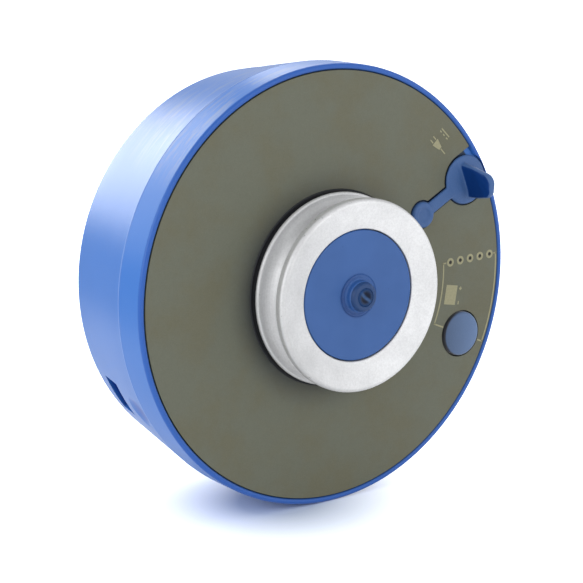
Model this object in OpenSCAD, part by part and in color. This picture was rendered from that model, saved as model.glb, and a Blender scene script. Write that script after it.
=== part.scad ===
// Hub power unit of a power-assist wheelchair wheel: a drum of cells with a lock knob,
// a covered charging socket, a power button and a row of charge lights.
// Each piece is drawn with the drum's axis along Z, the rear seat at zero and the face up,
// and in_place() lays that axis along Y, so that the face looks towards -Y.
// The row's origin is the centre of the rear seat.

/* [Drum] */
// Depth from the rear seat to the front of the face plate
unit_depth = 70; // [69.5:0.5:80]
// Radius of the face plate
plate_r = 100; // [99:0.5:106]
// Thickness of the face plate
plate_t = 1.6; // [1.2:0.1:2]
// Gap between the face plate and what surrounds it
plate_gap = 0.3; // [0.2:0.05:0.4]
// Width of the rounded lip around the face plate
lip_w = 2.9; // [2.6:0.1:3.6]
// How far the lip stands in front of the face plate
lip_proud = 0.3; // [0:0.1:1]
// Length of the straight flank behind the lip
flank_h = 17.5; // [16.5:0.5:19]
// How much smaller the drum is at its rear, in radius
draft = 7.8; // [6:0.1:8.2]
// Radius of the rounded rear edge
rear_edge_r = 3; // [1.5:0.5:4]
// Thickness of the moulded walls
wall = 2.6; // [2.2:0.1:2.8]
// Size of the small bevel on both sides of the parting seam
seam_bevel = 0.3; // [0.1:0.1:0.5]
// Length of the lap that joins the two shells
lap_h = 4; // [3.5:0.5:5]

/* [Hub seat] */
// Radius of the recess that sits over the wheel's hub
pilot_r = 42; // [40:0.5:43]
// Depth of that recess
pilot_depth = 10; // [8:0.5:11]
// Radius of the bore that takes the wheel's axle
axle_r = 9.25; // [8.5:0.05:9.6]
// Length of the axle bore
axle_bore_h = 31; // [28:1:33]
// Outer radius of the lock tube
tube_r = 12; // [11.8:0.1:12.6]
// Wall thickness of the two bushes round the lock tube
bush_t = 3; // [2:0.5:3.5]
// Running clearance between the lock tube and its bushes, in radius
run_gap = 0.06; // [0.03:0.01:0.1]
// Angle that the lock knob turns through
lock_turn = 60; // [40:5:75]
// Width of the slots that take the hub's locking lugs
lug_slot_w = 4.4; // [3:0.2:6]
// Depth of those slots in the tube's wall
lug_slot_depth = 1.4; // [0.8:0.1:1.8]

/* [Cells] */
// Height kept above the cells for the boards
board_room = 19.1; // [18.5:0.1:22]
// Gap between the cells and the drum's wall at its floor
cell_margin = 6.85; // [6.5:0.05:8]
// Least gap between neighbouring cells
cell_gap = 0.9; // [0.8:0.1:1.5]
// Thickness of the metal strips that join the cells
link_t = 0.4; // [0.2:0.1:0.6]
// Height of the carrier's ring plate
carrier_t = 8; // [4:1:12]

/* [Lock knob] */
// Radius of the knob's rear flange
knob_base_r = 45.1; // [43:0.1:45.6]
// Radius of the knob's front flange
knob_front_r = 44.6; // [42:0.1:45.6]
// How far the knob's front stands out from the face plate
knob_h = 22.7; // [20:0.1:26]
// Height of the rear flange's edge above the face plate
knob_base_h = 4.7; // [4:0.1:6]
// Thickness of the front flange at its edge
knob_flange_t = 5; // [4.5:0.1:6.5]
// Radius of the rounded edge of the front flange
knob_edge_r = 2; // [1:0.1:2.8]
// Radius of the coloured cap in the knob
cap_r = 30.05; // [27:0.05:32]
// How far the cap lies behind the knob's front
cap_drop = 3; // [2:0.1:4]
// Gap round the cap
cap_gap = 0.55; // [0.2:0.05:0.7]
// Radius of the raised boss at the cap's centre
boss_r = 7.2; // [6.6:0.1:8]
// Height of that boss above the cap
boss_h = 3.3; // [2:0.1:4]

/* [Release button] */
// Radius of the push button at the knob's centre
release_r = 4.2; // [3.6:0.1:4.4]
// How far the button stands out from its boss
release_proud = 2.3; // [1.5:0.1:4]
// Travel of the release button
release_travel = 5; // [3:0.5:6]
// Radius of the push rod
rod_r = 3; // [2.5:0.1:3.2]
// Radius of the spring's wire
spring_wire_r = 0.45; // [0.3:0.05:0.5]
// Number of turns of the release spring
spring_turns = 6; // [4:1:7]

/* [Charging socket] */
// Distance of the socket from the face plate's edge
socket_inset = 10.3; // [10:0.1:11]
// Angle of the socket, counted from +X towards the top
socket_angle = 29; // [27:0.5:31]
// Radius of the socket's bore
socket_r = 8.4; // [8:0.1:8.6]
// Depth of the socket below its flange
socket_depth = 11; // [10:0.5:11.5]
// Wall thickness of the socket's tube
socket_wall = 1.5; // [1.2:0.1:1.6]
// Radius of the cover's disc
plug_r = 12.3; // [11.8:0.1:12.5]
// Thickness of the cover's disc at its edge
plug_edge_t = 1.7; // [1.5:0.1:2.2]
// Height of the cover's dome above its edge
plug_dome = 0.9; // [0.4:0.1:1.5]
// Width of the cover's strap
strap_w = 6.5; // [5:0.5:8]
// Radius of the round anchor that holds the strap
anchor_r = 6.5; // [5.5:0.1:7]
// Distance of the anchor from the drum's axis
anchor_pos_r = 59.7; // [59:0.1:61]
// Width of the cover's grip at its foot
grip_w = 19; // [14:0.5:20]
// Width of the grip at its top
grip_top_w = 8.5; // [5:0.5:9]
// Height of the grip above the face plate
grip_h = 17.5; // [12:0.5:18]
// Thickness of the grip
grip_t = 4; // [3:0.1:5]
// Angle of the grip's foot across the cover
grip_turn = -8; // [-12:1:12]
// Twist of the grip between its foot and its top
grip_twist = -26; // [-30:1:30]
// Clearance round the cover where it drops into the face
cover_gap = 0.5; // [0.3:0.05:0.7]

/* [Power button] */
// Distance of the power button from the face plate's edge
power_inset = 16; // [15:0.1:18]
// Angle of the power button, counted from +X towards the top
power_angle = -22.85; // [-26:0.05:-21]
// Radius of the power button
power_r = 10.9; // [10:0.1:11.6]
// Height of the button's dome
power_dome = 0.7; // [0.4:0.1:2]
// Radius of the power button's rounded edge
power_edge_round = 1.4; // [0.4:0.1:1.8]
// Travel of the power button
power_travel = 1.2; // [0.8:0.1:1.5]
// Gap round the power button
power_gap = 0.7; // [0.4:0.05:0.8]
// How far the edge of the power button stands out from the face plate
power_proud = 1.2; // [0.2:0.1:1.5]

/* [Charge lights] */
// Number of charge lights
led_count = 5; // [3:1:5]
// Distance of the last light from the face plate's edge
led_inset = 4.8; // [4:0.1:5.5]
// Spacing of the lights
led_pitch = 6.2; // [5.5:0.1:6.2]
// Angle of the row of lights
led_angle = 3; // [2:0.5:4]
// Radius of the windows in the face plate
led_window_r = 0.85; // [0.7:0.05:1.2]

/* [Side pockets] */
// Width of a side pocket around the drum
pocket_w = 19; // [14:0.5:20]
// Height of a side pocket along the axis
pocket_h = 13; // [8:0.5:14]
// Distance of a side pocket from the rear seat
pocket_z = 12; // [11:0.5:13]
// Angle of the first of the three side pockets
pocket_angle = -149.5; // [-152:0.5:-147]
// Depth of the shallow scoop in front of a pocket
scoop_depth = 1.1; // [0.6:0.1:1.4]

/* [Hidden] */
$fn = 96;
eps = 0.01;
cell_count = 20;

// Colours
shell_blue = [0.36, 0.53, 0.86];
cap_blue = [0.28, 0.42, 0.66];
soft_blue = [0.29, 0.42, 0.63];
face_olive = [0.44, 0.44, 0.38];
bright_metal = [0.86, 0.86, 0.88];
steel_grey = [0.62, 0.63, 0.65];
near_black = [0.10, 0.10, 0.11];
board_green = [0.10, 0.36, 0.22];
cell_sleeve = [0.20, 0.45, 0.30];
nickel = [0.78, 0.76, 0.70];
brass_tone = [0.80, 0.66, 0.34];
nylon_white = [0.88, 0.87, 0.82];

// Levels along the drum's axis, from the rear seat
floor_t = 3;
split_z = unit_depth - flank_h;
deck_t = 2.6;
deck_z = unit_depth - plate_t;
deck_under_z = deck_z - deck_t;
well_drop = 1.4;
well_z = deck_z - well_drop;
well_under_z = well_z - deck_t;
link_clear = 0.3;
cell_z = floor_t + link_clear + link_t;
cell_top_z = deck_under_z - board_room;
cell_len = cell_top_z - cell_z;
disc_t = 1;
disc_z = cell_top_z + link_t;
board_t = 1.6;
board_lift = 2.9;
board_z = disc_z + disc_t + board_lift;
display_drop = 9.8;
display_z = deck_under_z - display_drop;

// Radii of the drum
rim_r = plate_r + plate_gap + lip_w;
rear_r = rim_r - draft;
draft_angle = atan(draft / split_z);
bezel_inner_r = rim_r - wall;
lap_gap = 0.25;
lap_out_r = bezel_inner_r - lap_gap;
lap_t = 2;
lap_in_r = lap_out_r - lap_t;
lap_root = 6.5;
well_r = knob_base_r + 1;
seal_section_r = 0.75;
seal_groove_z = split_z + lap_h / 2;

// Bushes and sleeves
bush_in_r = tube_r + run_gap;
bush_out_r = bush_in_r + bush_t;
bush_fit = 0.06;
bush_flange_r = bush_out_r + 4;
bush_flange_t = 2;
sleeve_t = 3.4;
sleeve_r = bush_out_r + sleeve_t;
sleeve_h = 15;
circlip_pocket_r = bush_out_r + 0.5;
circlip_t = 1.2;
circlip_gap = 0.1;

// Places on the face, counted inwards from the plate's edge
socket_pos_r = plate_r - socket_inset;
power_pos_r = plate_r - power_inset;
led_first_r = plate_r - led_inset - (led_count - 1) * led_pitch;

// The cells fill the drum: side by side in a ring that lies against its wall
cell_step = 360 / cell_count;
half_step_sine = sin(cell_step / 2);
cell_out_r = drum_r(floor_t) - wall - cell_margin;
cell_r = (cell_out_r * half_step_sine - cell_gap / 2) / (1 + half_step_sine);
cell_ring_r = cell_out_r - cell_r;
cell_start = -2.5;
cell_clear = 0.1;
carrier_z = 20;
carrier_skirt_t = 1.8;
carrier_rim_gap = 0.4;
carrier_rim = 0.9;
carrier_in_r = cell_ring_r - cell_r - carrier_rim_gap - carrier_skirt_t;
carrier_out_r = cell_out_r + carrier_rim;
link_w = 8;

// The rear connector stands between the hub recess and the carrier
connector_clear = 3;
connector_pos_r = (pilot_r + wall + carrier_in_r) / 2;
connector_d = carrier_in_r - pilot_r - wall - 2 * connector_clear;
connector_angle = -90;

// Screws that hold the two shells stand in gaps between cells
screw_gaps = [3, 7, 10, 13, 17];
screw_offset = 2.6;
screw_ring_r = cell_out_r + screw_offset;
boss_out_r = 3.4;
screw_r = 1.75;
screw_head_r = 3.3;
screw_sink = 0.4;
screw_tip_room = 9;
screw_len = unit_depth - screw_tip_room;
thread_gap = 0.05;
hex_r = 1.4;
hex_depth = 1.3;

// Boards and what stands on them
main_board_in_r = connector_pos_r - 3.1;
main_board_margin = 1.9;
main_board_out_r = cell_out_r - main_board_margin;
board_mid_r = (main_board_in_r + main_board_out_r) / 2;
main_board_from = 70;
main_board_sweep = 230;
display_margin = 6.4;
display_in_r = led_first_r - display_margin;
display_out_r = lap_in_r - 1.4;
display_from = -34;
display_sweep = 43;
board_post_r = 3;
board_screw_r = 1.2;
board_screw_len = 8;
board_screw_head_r = 2.3;
board_screw_head_t = 1.4;
post_inset = 4.5;
main_posts = [for (a = [80, 150, 215, 285]) [main_board_out_r - post_inset, a]];
display_posts = [for (r = [display_in_r + post_inset + 1.5, display_out_r - post_inset]) [r, -9.5]];
chip_w = 14;
chip_t = 2;
capacitor_r = 5;
capacitor_h = 10.5;
holder_w = 10;
holder_l = 22;
holder_h = 7;
holder_wall = 2.8;
holder_floor = 3;
fuse_gap = 0.3;
fuse_h = 7.5;

// Knob
knob_z = deck_z + 0.9;
knob_rear_z = unit_depth + 2.8;
knob_foot_r = knob_base_r - 1.6;
seal_lip_t = 0.8;
seal_lip_gap = 0.2;
seal_run_gap = 0.35;
seal_fit = 0.15;
seal_rise = 0.3;
knob_top_z = unit_depth + knob_h;
knob_rim_z = unit_depth + knob_base_h;
knob_rim_round = 1.2;
groove_top_z = knob_top_z - knob_flange_t;
groove_r = (groove_top_z - knob_rim_z) / 2;
groove_mid_z = (groove_top_z + knob_rim_z) / 2;
web_t = 4;
cap_z = knob_top_z - cap_drop;
cap_floor_z = cap_z - 5.7;
web_z = cap_floor_z - web_t;
hollow_r = 33;
cap_t = 2.5;
cap_skirt_t = 1.7;
collar_r = tube_r + 5;
collar_z = well_z + bush_flange_t + 1;
flange_t = 4;
tube_flange_r = tube_r + 14;
tube_flange_z = web_z - flange_t;
knob_screw_ring_r = 20;
knob_screw_r = 2;
knob_screw_head_r = 3.5;
knob_screw_head_t = 2.3;
face_dish = cap_drop - 0.4;

// Release button and rod
spring_bore_r = release_r + 1.4;
spring_seat_z = cap_floor_z - 12;
button_flange_r = release_r + 1;
button_flange_t = 1.4;
button_flange_z = cap_floor_z + 0.8;
tenon_r = 1.8;
tenon_h = 4;
tenon_gap = 0.05;
boss_bore_gap = 0.25;
boss_bore_r = release_r + boss_bore_gap;
boss_step_z = button_flange_z + button_flange_t + 0.2;
rod_end_z = pilot_depth + axle_bore_h + 2;
spring_coil_r = (rod_r + spring_bore_r) / 2;

// Socket and cover
socket_flange_t = 1.2;
socket_flange_r = socket_r + 3;
socket_out_r = socket_r + socket_wall;
socket_bottom_z = deck_z - socket_depth;
socket_base_t = 2;
cover_z = deck_z + 0.3;
strap_t = 2.1;
grip_lean = [0.6, -1.8];
hinge_z = cover_z + strap_t;
hinge_gap = 0.3;
hinge_pos_r = anchor_pos_r + anchor_r + 0.4;
notch_r = plug_r + cover_gap;
spigot_top_r = socket_r - 0.3;
spigot_end_r = socket_r - 1.1;
spigot_wall = 1.2;
spigot_h = 5;
anchor_stud_r = 2.5;
anchor_edge = 1;
anchor_dimple_r = 3.4;
anchor_dimple = 0.6;

// Power button
power_flange_r = power_r + 1.5;
power_flange_t = 1.2;
power_guide_r = power_flange_r + 0.4;
power_guide_t = 1.4;
power_guide_h = 4;
power_rest_gap = 0.2;
power_stem_r = 1.75;
switch_w = 12;
switch_h = 4;
switch_top_z = display_z + board_t + switch_h;
power_flange_z = deck_under_z - power_rest_gap - power_flange_t;
power_edge_z = unit_depth + power_proud;

// Light pipe
pipe_bar_w = 3.6;
pipe_bar_t = 1.6;
pipe_gap = 0.1;
pipe_sink = 0.3;
led_body_r = 1.5;
led_body_h = 4.8;

// Side pockets
pocket_floor_r = cell_ring_r + cell_r + 2.8;
pocket_skin = 1.4;
pocket_angles = [for (i = [0:2]) pocket_angle + 120 * i];
scoop_r = 30;
scoop_gap = 5;
scoop_span = 8;

// Rear connector
connector_w = 24;
connector_h = 15.2;
connector_sink = 0.8;
connector_gap = 0.2;
contact_pitch = 5.5;
contact_r = 1.6;
contact_bore_r = 1;
contact_tail = 2;
lead_r = 1;
socket_lead_pos_r = main_board_out_r - 2.5;
socket_lead_end = 74;

function drum_r(z) = rim_r - draft * (split_z - z) / split_z;
function arc(cx, cy, r, from, to, steps = 8) =
    [for (i = [0:steps]) let (a = from + (to - from) * i / steps) [cx + r * cos(a), cy + r * sin(a)]];
function led_pos(i) = led_first_r + i * led_pitch;

module in_place() {
    rotate([90, 0, 0]) children();
}

module at_polar(r, a, z = 0) {
    rotate([0, 0, a]) translate([r, 0, z]) children();
}

module revolve(points) {
    rotate_extrude() polygon(points);
}

module ring(r_out, r_in, h) {
    difference() {
        cylinder(r = r_out, h = h);
        translate([0, 0, -1]) cylinder(r = r_in, h = h + 2);
    }
}

module sector(r_in, r_out, h, from, sweep) {
    rotate([0, 0, from])
        rotate_extrude(angle = sweep) translate([r_in, 0]) square([r_out - r_in, h]);
}

module at_cell(i) {
    at_polar(cell_ring_r, cell_start + i * cell_step) children();
}

module at_screws() {
    for (k = screw_gaps) at_polar(screw_ring_r, cell_start + (k + 0.5) * cell_step) children();
}

module at_socket() {
    at_polar(socket_pos_r, socket_angle) children();
}

module at_power_button() {
    at_polar(power_pos_r, power_angle) children();
}

module at_knob_screws() {
    for (i = [0:2]) at_polar(knob_screw_ring_r, 90 + 120 * i) children();
}

// Rear shell: a drafted drum with the hub recess, screw bosses and blind side pockets
module rear_shell_body() {
    edge_c = rear_r - rear_edge_r * (1 - sin(draft_angle)) / cos(draft_angle);
    cup_r = pilot_r + wall;
    cup_z = pilot_depth + floor_t;
    groove_half = seal_section_r + 0.1;
    groove_in_r = bezel_inner_r - 2 * seal_section_r - 0.15;
    revolve(concat(
        [[pilot_r, 0]],
        arc(edge_c, rear_edge_r, rear_edge_r, -90, -draft_angle),
        [[drum_r(split_z - seam_bevel), split_z - seam_bevel], [rim_r - seam_bevel, split_z]],
        [[lap_out_r, split_z], [lap_out_r, seal_groove_z - groove_half]],
        [[groove_in_r, seal_groove_z - groove_half], [groove_in_r, seal_groove_z + groove_half]],
        [[lap_out_r, seal_groove_z + groove_half], [lap_out_r, split_z + lap_h]],
        [[lap_in_r, split_z + lap_h], [lap_in_r, split_z - lap_root]],
        [[drum_r(split_z - lap_root) - wall, split_z - lap_root - 1.5]],
        [[drum_r(floor_t) - wall, floor_t], [cup_r, floor_t], [cup_r, cup_z], [sleeve_r, cup_z]],
        [[sleeve_r, cup_z + sleeve_h], [bush_out_r, cup_z + sleeve_h], [bush_out_r, cup_z]],
        [[circlip_pocket_r, cup_z], [circlip_pocket_r, pilot_depth], [pilot_r, pilot_depth]]
    ));
}

module pocket_block(grow) {
    translate([pocket_floor_r - grow, -pocket_w / 2 - grow, pocket_z - grow])
        cube([rim_r, pocket_w + 2 * grow, pocket_h + 2 * grow]);
}

module boss_column(h) {
    cylinder(r = boss_out_r, h = h);
    translate([0, -wall / 2, 0]) cube([boss_out_r + 1.6, wall, h]);
}

module rear_housing() {
    scoop_z = pocket_z + pocket_h + scoop_gap + scoop_span;
    scoop_far = scoop_r - scoop_depth;
    color(shell_blue) in_place() difference() {
        union() {
            rear_shell_body();
            intersection() {
                revolve([[pilot_r, 0], [rear_r, 0], [rim_r, split_z], [pilot_r, split_z]]);
                union() {
                    for (a = pocket_angles) rotate([0, 0, a]) pocket_block(pocket_skin);
                    translate([0, 0, floor_t - eps]) at_screws() boss_column(split_z - floor_t + eps);
                }
            }
        }
        for (a = pocket_angles) {
            rotate([0, 0, a]) pocket_block(0);
            at_polar(drum_r(scoop_z) + scoop_far, a, scoop_z) sphere(r = scoop_r);
        }
        at_screws() {
            translate([0, 0, -1]) cylinder(r = screw_r + 0.25, h = unit_depth);
            translate([0, 0, -eps]) cylinder(r = screw_head_r + 0.2, h = screw_sink + eps + 0.1);
            translate([0, 0, screw_sink + 0.1])
                cylinder(r1 = screw_head_r + 0.2, r2 = screw_r, h = screw_head_r + 0.2 - screw_r);
        }
        at_polar(connector_pos_r, connector_angle, -1) translate([
            -connector_d / 2 - connector_gap,
            -connector_w / 2 - connector_gap,
            0
        ]) cube([connector_d + 2 * connector_gap, connector_w + 2 * connector_gap, floor_t + 2]);
        at_socket() translate([0, 0, socket_bottom_z - 1]) cylinder(r = socket_out_r + 0.4, h = unit_depth);
    }
}

// Front shell: flank, rounded lip, the deck under the face plate and the knob's well
module bezel_body() {
    lip_r = lip_w / 2;
    lip_z = unit_depth + lip_proud - lip_r;
    step_r = well_r + wall;
    revolve(concat(
        [[rim_r - seam_bevel, split_z], [rim_r, split_z + seam_bevel]],
        arc(rim_r - lip_r, lip_z, lip_r, 0, 180, 16),
        [[plate_r + plate_gap, deck_z], [well_r, deck_z], [well_r, well_z], [bush_out_r, well_z]],
        [[bush_out_r, well_z - sleeve_h], [sleeve_r, well_z - sleeve_h], [sleeve_r, well_under_z]],
        [[step_r, well_under_z], [step_r, deck_under_z], [bezel_inner_r, deck_under_z]],
        [[bezel_inner_r, split_z]]
    ));
}

module front_bezel() {
    boss_z = split_z + 0.1;
    color(shell_blue) in_place() difference() {
        union() {
            bezel_body();
            intersection() {
                cylinder(r = bezel_inner_r + eps, h = deck_under_z + eps);
                translate([0, 0, boss_z]) at_screws() cylinder(r = boss_out_r, h = unit_depth);
            }
            for (p = main_posts) at_polar(p[0], p[1], board_z + board_t)
                cylinder(r = board_post_r, h = deck_under_z - board_z - board_t + eps);
            for (p = display_posts) at_polar(p[0], p[1], display_z + board_t)
                cylinder(r = board_post_r, h = deck_under_z - display_z - board_t + eps);
            at_power_button() translate([0, 0, deck_under_z - power_guide_h])
                ring(power_guide_r + power_guide_t, power_guide_r, power_guide_h + eps);
        }
        at_screws() cylinder(r = screw_r + thread_gap, h = screw_len + screw_sink + 1);
        for (p = main_posts) at_polar(p[0], p[1], board_z)
            cylinder(r = board_screw_r + thread_gap, h = board_screw_len + 1);
        for (p = display_posts) at_polar(p[0], p[1], display_z)
            cylinder(r = board_screw_r + thread_gap, h = board_screw_len + 1);
        at_socket() {
            translate([0, 0, deck_z - socket_flange_t])
                cylinder(r = socket_flange_r + 0.1, h = unit_depth);
            cylinder(r = socket_out_r + 0.1, h = unit_depth);
            translate([0, 0, deck_z]) cylinder(r = notch_r, h = unit_depth);
        }
        at_power_button() cylinder(r = power_r + power_gap, h = unit_depth);
        for (i = [0:led_count - 1]) at_polar(led_pos(i), led_angle)
            cylinder(r = led_window_r, h = unit_depth);
        at_polar(anchor_pos_r, socket_angle) cylinder(r = anchor_stud_r + 0.1, h = unit_depth);
    }
}

module face_plate() {
    color(face_olive) in_place() translate([0, 0, deck_z]) difference() {
        cylinder(r = plate_r, h = plate_t);
        translate([0, 0, -1]) {
            cylinder(r = well_r, h = plate_t + 2);
            at_socket() {
                cylinder(r = notch_r, h = plate_t + 2);
                translate([0, -notch_r, 0]) cube([plate_r, 2 * notch_r, plate_t + 2]);
            }
            at_polar(anchor_pos_r, socket_angle) {
                cylinder(r = anchor_r + cover_gap, h = plate_t + 2);
                translate([0, -strap_w / 2 - cover_gap, 0])
                    cube([socket_pos_r - anchor_pos_r, strap_w + 2 * cover_gap, plate_t + 2]);
            }
            at_power_button() cylinder(r = power_r + power_gap, h = plate_t + 2);
            for (i = [0:led_count - 1]) at_polar(led_pos(i), led_angle)
                cylinder(r = led_window_r, h = plate_t + 2);
        }
    }
}

module housing_seal() {
    color(near_black) in_place() translate([0, 0, seal_groove_z])
        rotate_extrude() translate([bezel_inner_r - seal_section_r - 0.05, 0]) circle(r = seal_section_r);
}

module hex_socket(z) {
    translate([0, 0, z]) cylinder(r = hex_r, h = hex_depth + 1, $fn = 6);
}

module housing_screws() {
    color(steel_grey) in_place() at_screws() difference() {
        translate([0, 0, screw_sink]) {
            cylinder(r1 = screw_head_r, r2 = screw_r, h = screw_head_r - screw_r);
            cylinder(r = screw_r, h = screw_len);
        }
        hex_socket(screw_sink - 1);
    }
}

module knob_seal_ring() {
    in_r = knob_foot_r + seal_run_gap;
    out_r = well_r - seal_fit;
    top_z = unit_depth + seal_rise;
    lip_z = knob_rear_z - seal_lip_gap;
    color(near_black) in_place() revolve([
        [in_r, well_z], [out_r, well_z], [out_r, unit_depth], [out_r - seal_rise, top_z],
        [in_r + seal_lip_t, top_z], [in_r + seal_lip_t, lip_z], [in_r, lip_z]
    ]);
}

module front_bush() {
    color(nylon_white) in_place() {
        translate([0, 0, well_z]) ring(bush_flange_r, bush_in_r, bush_flange_t);
        translate([0, 0, well_z - sleeve_h]) ring(bush_out_r - bush_fit, bush_in_r, sleeve_h + eps);
    }
}

module rear_bush() {
    color(nylon_white) in_place() translate([0, 0, pilot_depth + floor_t])
        ring(bush_out_r - bush_fit, bush_in_r, sleeve_h);
}

// Carrier: a ring plate bored for every cell, standing on a skirt inside the ring of cells
module cell_carrier() {
    color(nylon_white) in_place() difference() {
        union() {
            translate([0, 0, floor_t]) ring(carrier_in_r + carrier_skirt_t, carrier_in_r, carrier_z - floor_t + eps);
            translate([0, 0, carrier_z]) ring(carrier_out_r, carrier_in_r, carrier_t);
        }
        for (i = [1:cell_count]) at_cell(i) translate([0, 0, carrier_z - eps])
            cylinder(r = cell_r + cell_clear, h = carrier_t + 1);
        at_screws() cylinder(r = boss_out_r + 0.3, h = unit_depth);
    }
}

module cell(i) {
    edge = 0.6;
    crimp_z = cell_len - 4.5;
    color(cell_sleeve) in_place() at_cell(i) translate([0, 0, cell_z]) revolve([
        [0, 0], [cell_r - edge, 0], [cell_r, edge], [cell_r, crimp_z],
        [cell_r - edge, crimp_z + edge], [cell_r - edge, crimp_z + 2 * edge],
        [cell_r, crimp_z + 3 * edge], [cell_r, cell_len - edge], [cell_r - edge, cell_len], [0, cell_len]
    ]);
}

module cell_link(i, z) {
    span = 2 * cell_ring_r * sin(cell_step / 2);
    at_polar(cell_ring_r * cos(cell_step / 2), cell_start + (i + 0.5) * cell_step, z)
        translate([-link_w / 2, -span / 2 - link_w / 2, 0]) cube([link_w, span + link_w, link_t]);
}

module cell_links() {
    color(nickel) in_place() {
        for (i = [1:2:cell_count - 1]) cell_link(i, cell_top_z);
        for (i = [2:2:cell_count - 2]) cell_link(i, cell_z - link_t);
    }
}

module insulating_disc() {
    color(nylon_white) in_place() translate([0, 0, disc_z])
        ring(screw_ring_r - boss_out_r - 0.4, carrier_in_r, disc_t);
}

module main_board() {
    color(board_green) in_place() translate([0, 0, board_z]) difference() {
        sector(main_board_in_r, main_board_out_r, board_t, main_board_from, main_board_sweep);
        for (p = main_posts) at_polar(p[0], p[1], -1)
            cylinder(r = board_screw_r + 0.1, h = board_t + 2);
    }
}

module controller_chip() {
    color(near_black) in_place() at_polar(board_mid_r, 180, board_z + board_t)
        translate([-chip_w / 2, -chip_w / 2, 0]) cube([chip_w, chip_w, chip_t]);
}

module board_capacitors() {
    color(near_black) in_place() for (a = [105, 118, 131]) at_polar(board_mid_r, a, board_z + board_t)
        cylinder(r = capacitor_r, h = capacitor_h);
}

module fuse_holder() {
    color(near_black) in_place() at_polar(board_mid_r, 235, board_z + board_t) difference() {
        translate([-holder_w / 2, -holder_l / 2, 0]) cube([holder_w, holder_l, holder_h]);
        translate([holder_wall - holder_w / 2, holder_wall / 2 - holder_l / 2, holder_floor])
            cube([holder_w - 2 * holder_wall, holder_l - holder_wall, holder_h]);
    }
}

module fuse() {
    fuse_w = holder_w - 2 * holder_wall - 2 * fuse_gap;
    fuse_l = holder_l - holder_wall - 2 * fuse_gap;
    color([0.80, 0.45, 0.15]) in_place() at_polar(board_mid_r, 235, board_z + board_t + holder_floor)
        translate([-fuse_w / 2, -fuse_l / 2, 0]) cube([fuse_w, fuse_l, fuse_h]);
}

module board_screw() {
    translate([0, 0, -board_screw_head_t]) cylinder(r = board_screw_head_r, h = board_screw_head_t);
    cylinder(r = board_screw_r, h = board_screw_len);
}

module board_screws() {
    color(steel_grey) in_place() {
        for (p = main_posts) at_polar(p[0], p[1], board_z) board_screw();
        for (p = display_posts) at_polar(p[0], p[1], display_z) board_screw();
    }
}

module display_board() {
    color(board_green) in_place() translate([0, 0, display_z]) difference() {
        sector(display_in_r, display_out_r, board_t, display_from, display_sweep);
        for (p = display_posts) at_polar(p[0], p[1], -1)
            cylinder(r = board_screw_r + 0.1, h = board_t + 2);
    }
}

module charge_leds() {
    color([0.85, 0.20, 0.15]) in_place() for (i = [0:led_count - 1])
        at_polar(led_pos(i), led_angle, display_z + board_t) {
            cylinder(r = led_body_r, h = led_body_h - led_body_r);
            translate([0, 0, led_body_h - led_body_r]) sphere(r = led_body_r);
        }
}

module light_pipe() {
    bar = (led_count - 1) * led_pitch + 4;
    color([0.75, 0.80, 0.85]) in_place() {
        at_polar(led_first_r - 2, led_angle, deck_under_z - pipe_bar_t)
            translate([0, -pipe_bar_w / 2, 0]) cube([bar, pipe_bar_w, pipe_bar_t]);
        for (i = [0:led_count - 1]) at_polar(led_pos(i), led_angle, deck_under_z - eps)
            cylinder(r = led_window_r - pipe_gap, h = unit_depth - pipe_sink - deck_under_z);
    }
}

module power_switch() {
    color(near_black) in_place() at_power_button() translate([0, 0, display_z + board_t]) difference() {
        translate([-switch_w / 2, -switch_w / 2, 0]) cube([switch_w, switch_w, switch_h]);
        translate([0, 0, 0.6]) cylinder(r = power_stem_r + 0.1, h = switch_h);
    }
}

module charging_socket() {
    color(near_black) in_place() at_socket() revolve([
        [0, socket_bottom_z], [socket_out_r, socket_bottom_z], [socket_out_r, deck_z - socket_flange_t],
        [socket_flange_r, deck_z - socket_flange_t], [socket_flange_r, deck_z], [socket_r, deck_z],
        [socket_r, socket_bottom_z + socket_base_t], [0, socket_bottom_z + socket_base_t]
    ]);
}

module socket_contacts() {
    color(brass_tone) in_place() at_socket() for (i = [0:2])
        at_polar(3.6, 120 * i, socket_bottom_z + socket_base_t) cylinder(r = 1.1, h = 3.6);
}

module strap_anchor() {
    top_z = hinge_z + anchor_edge / 2;
    color(soft_blue) in_place() at_polar(anchor_pos_r, socket_angle) revolve(concat(
        [[0, deck_under_z - 2.3], [anchor_stud_r - 0.6, deck_under_z - 2.3]],
        [[anchor_stud_r + 0.6, deck_under_z - 0.8], [anchor_stud_r + 0.6, deck_under_z]],
        [[anchor_stud_r, deck_under_z], [anchor_stud_r, deck_z], [anchor_r, deck_z]],
        arc(anchor_r - anchor_edge, top_z - anchor_edge, anchor_edge, 0, 90, 5),
        [[anchor_dimple_r, top_z], [anchor_dimple_r - 1.2, top_z - anchor_dimple]],
        [[0, top_z - anchor_dimple]]
    ));
}

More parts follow.
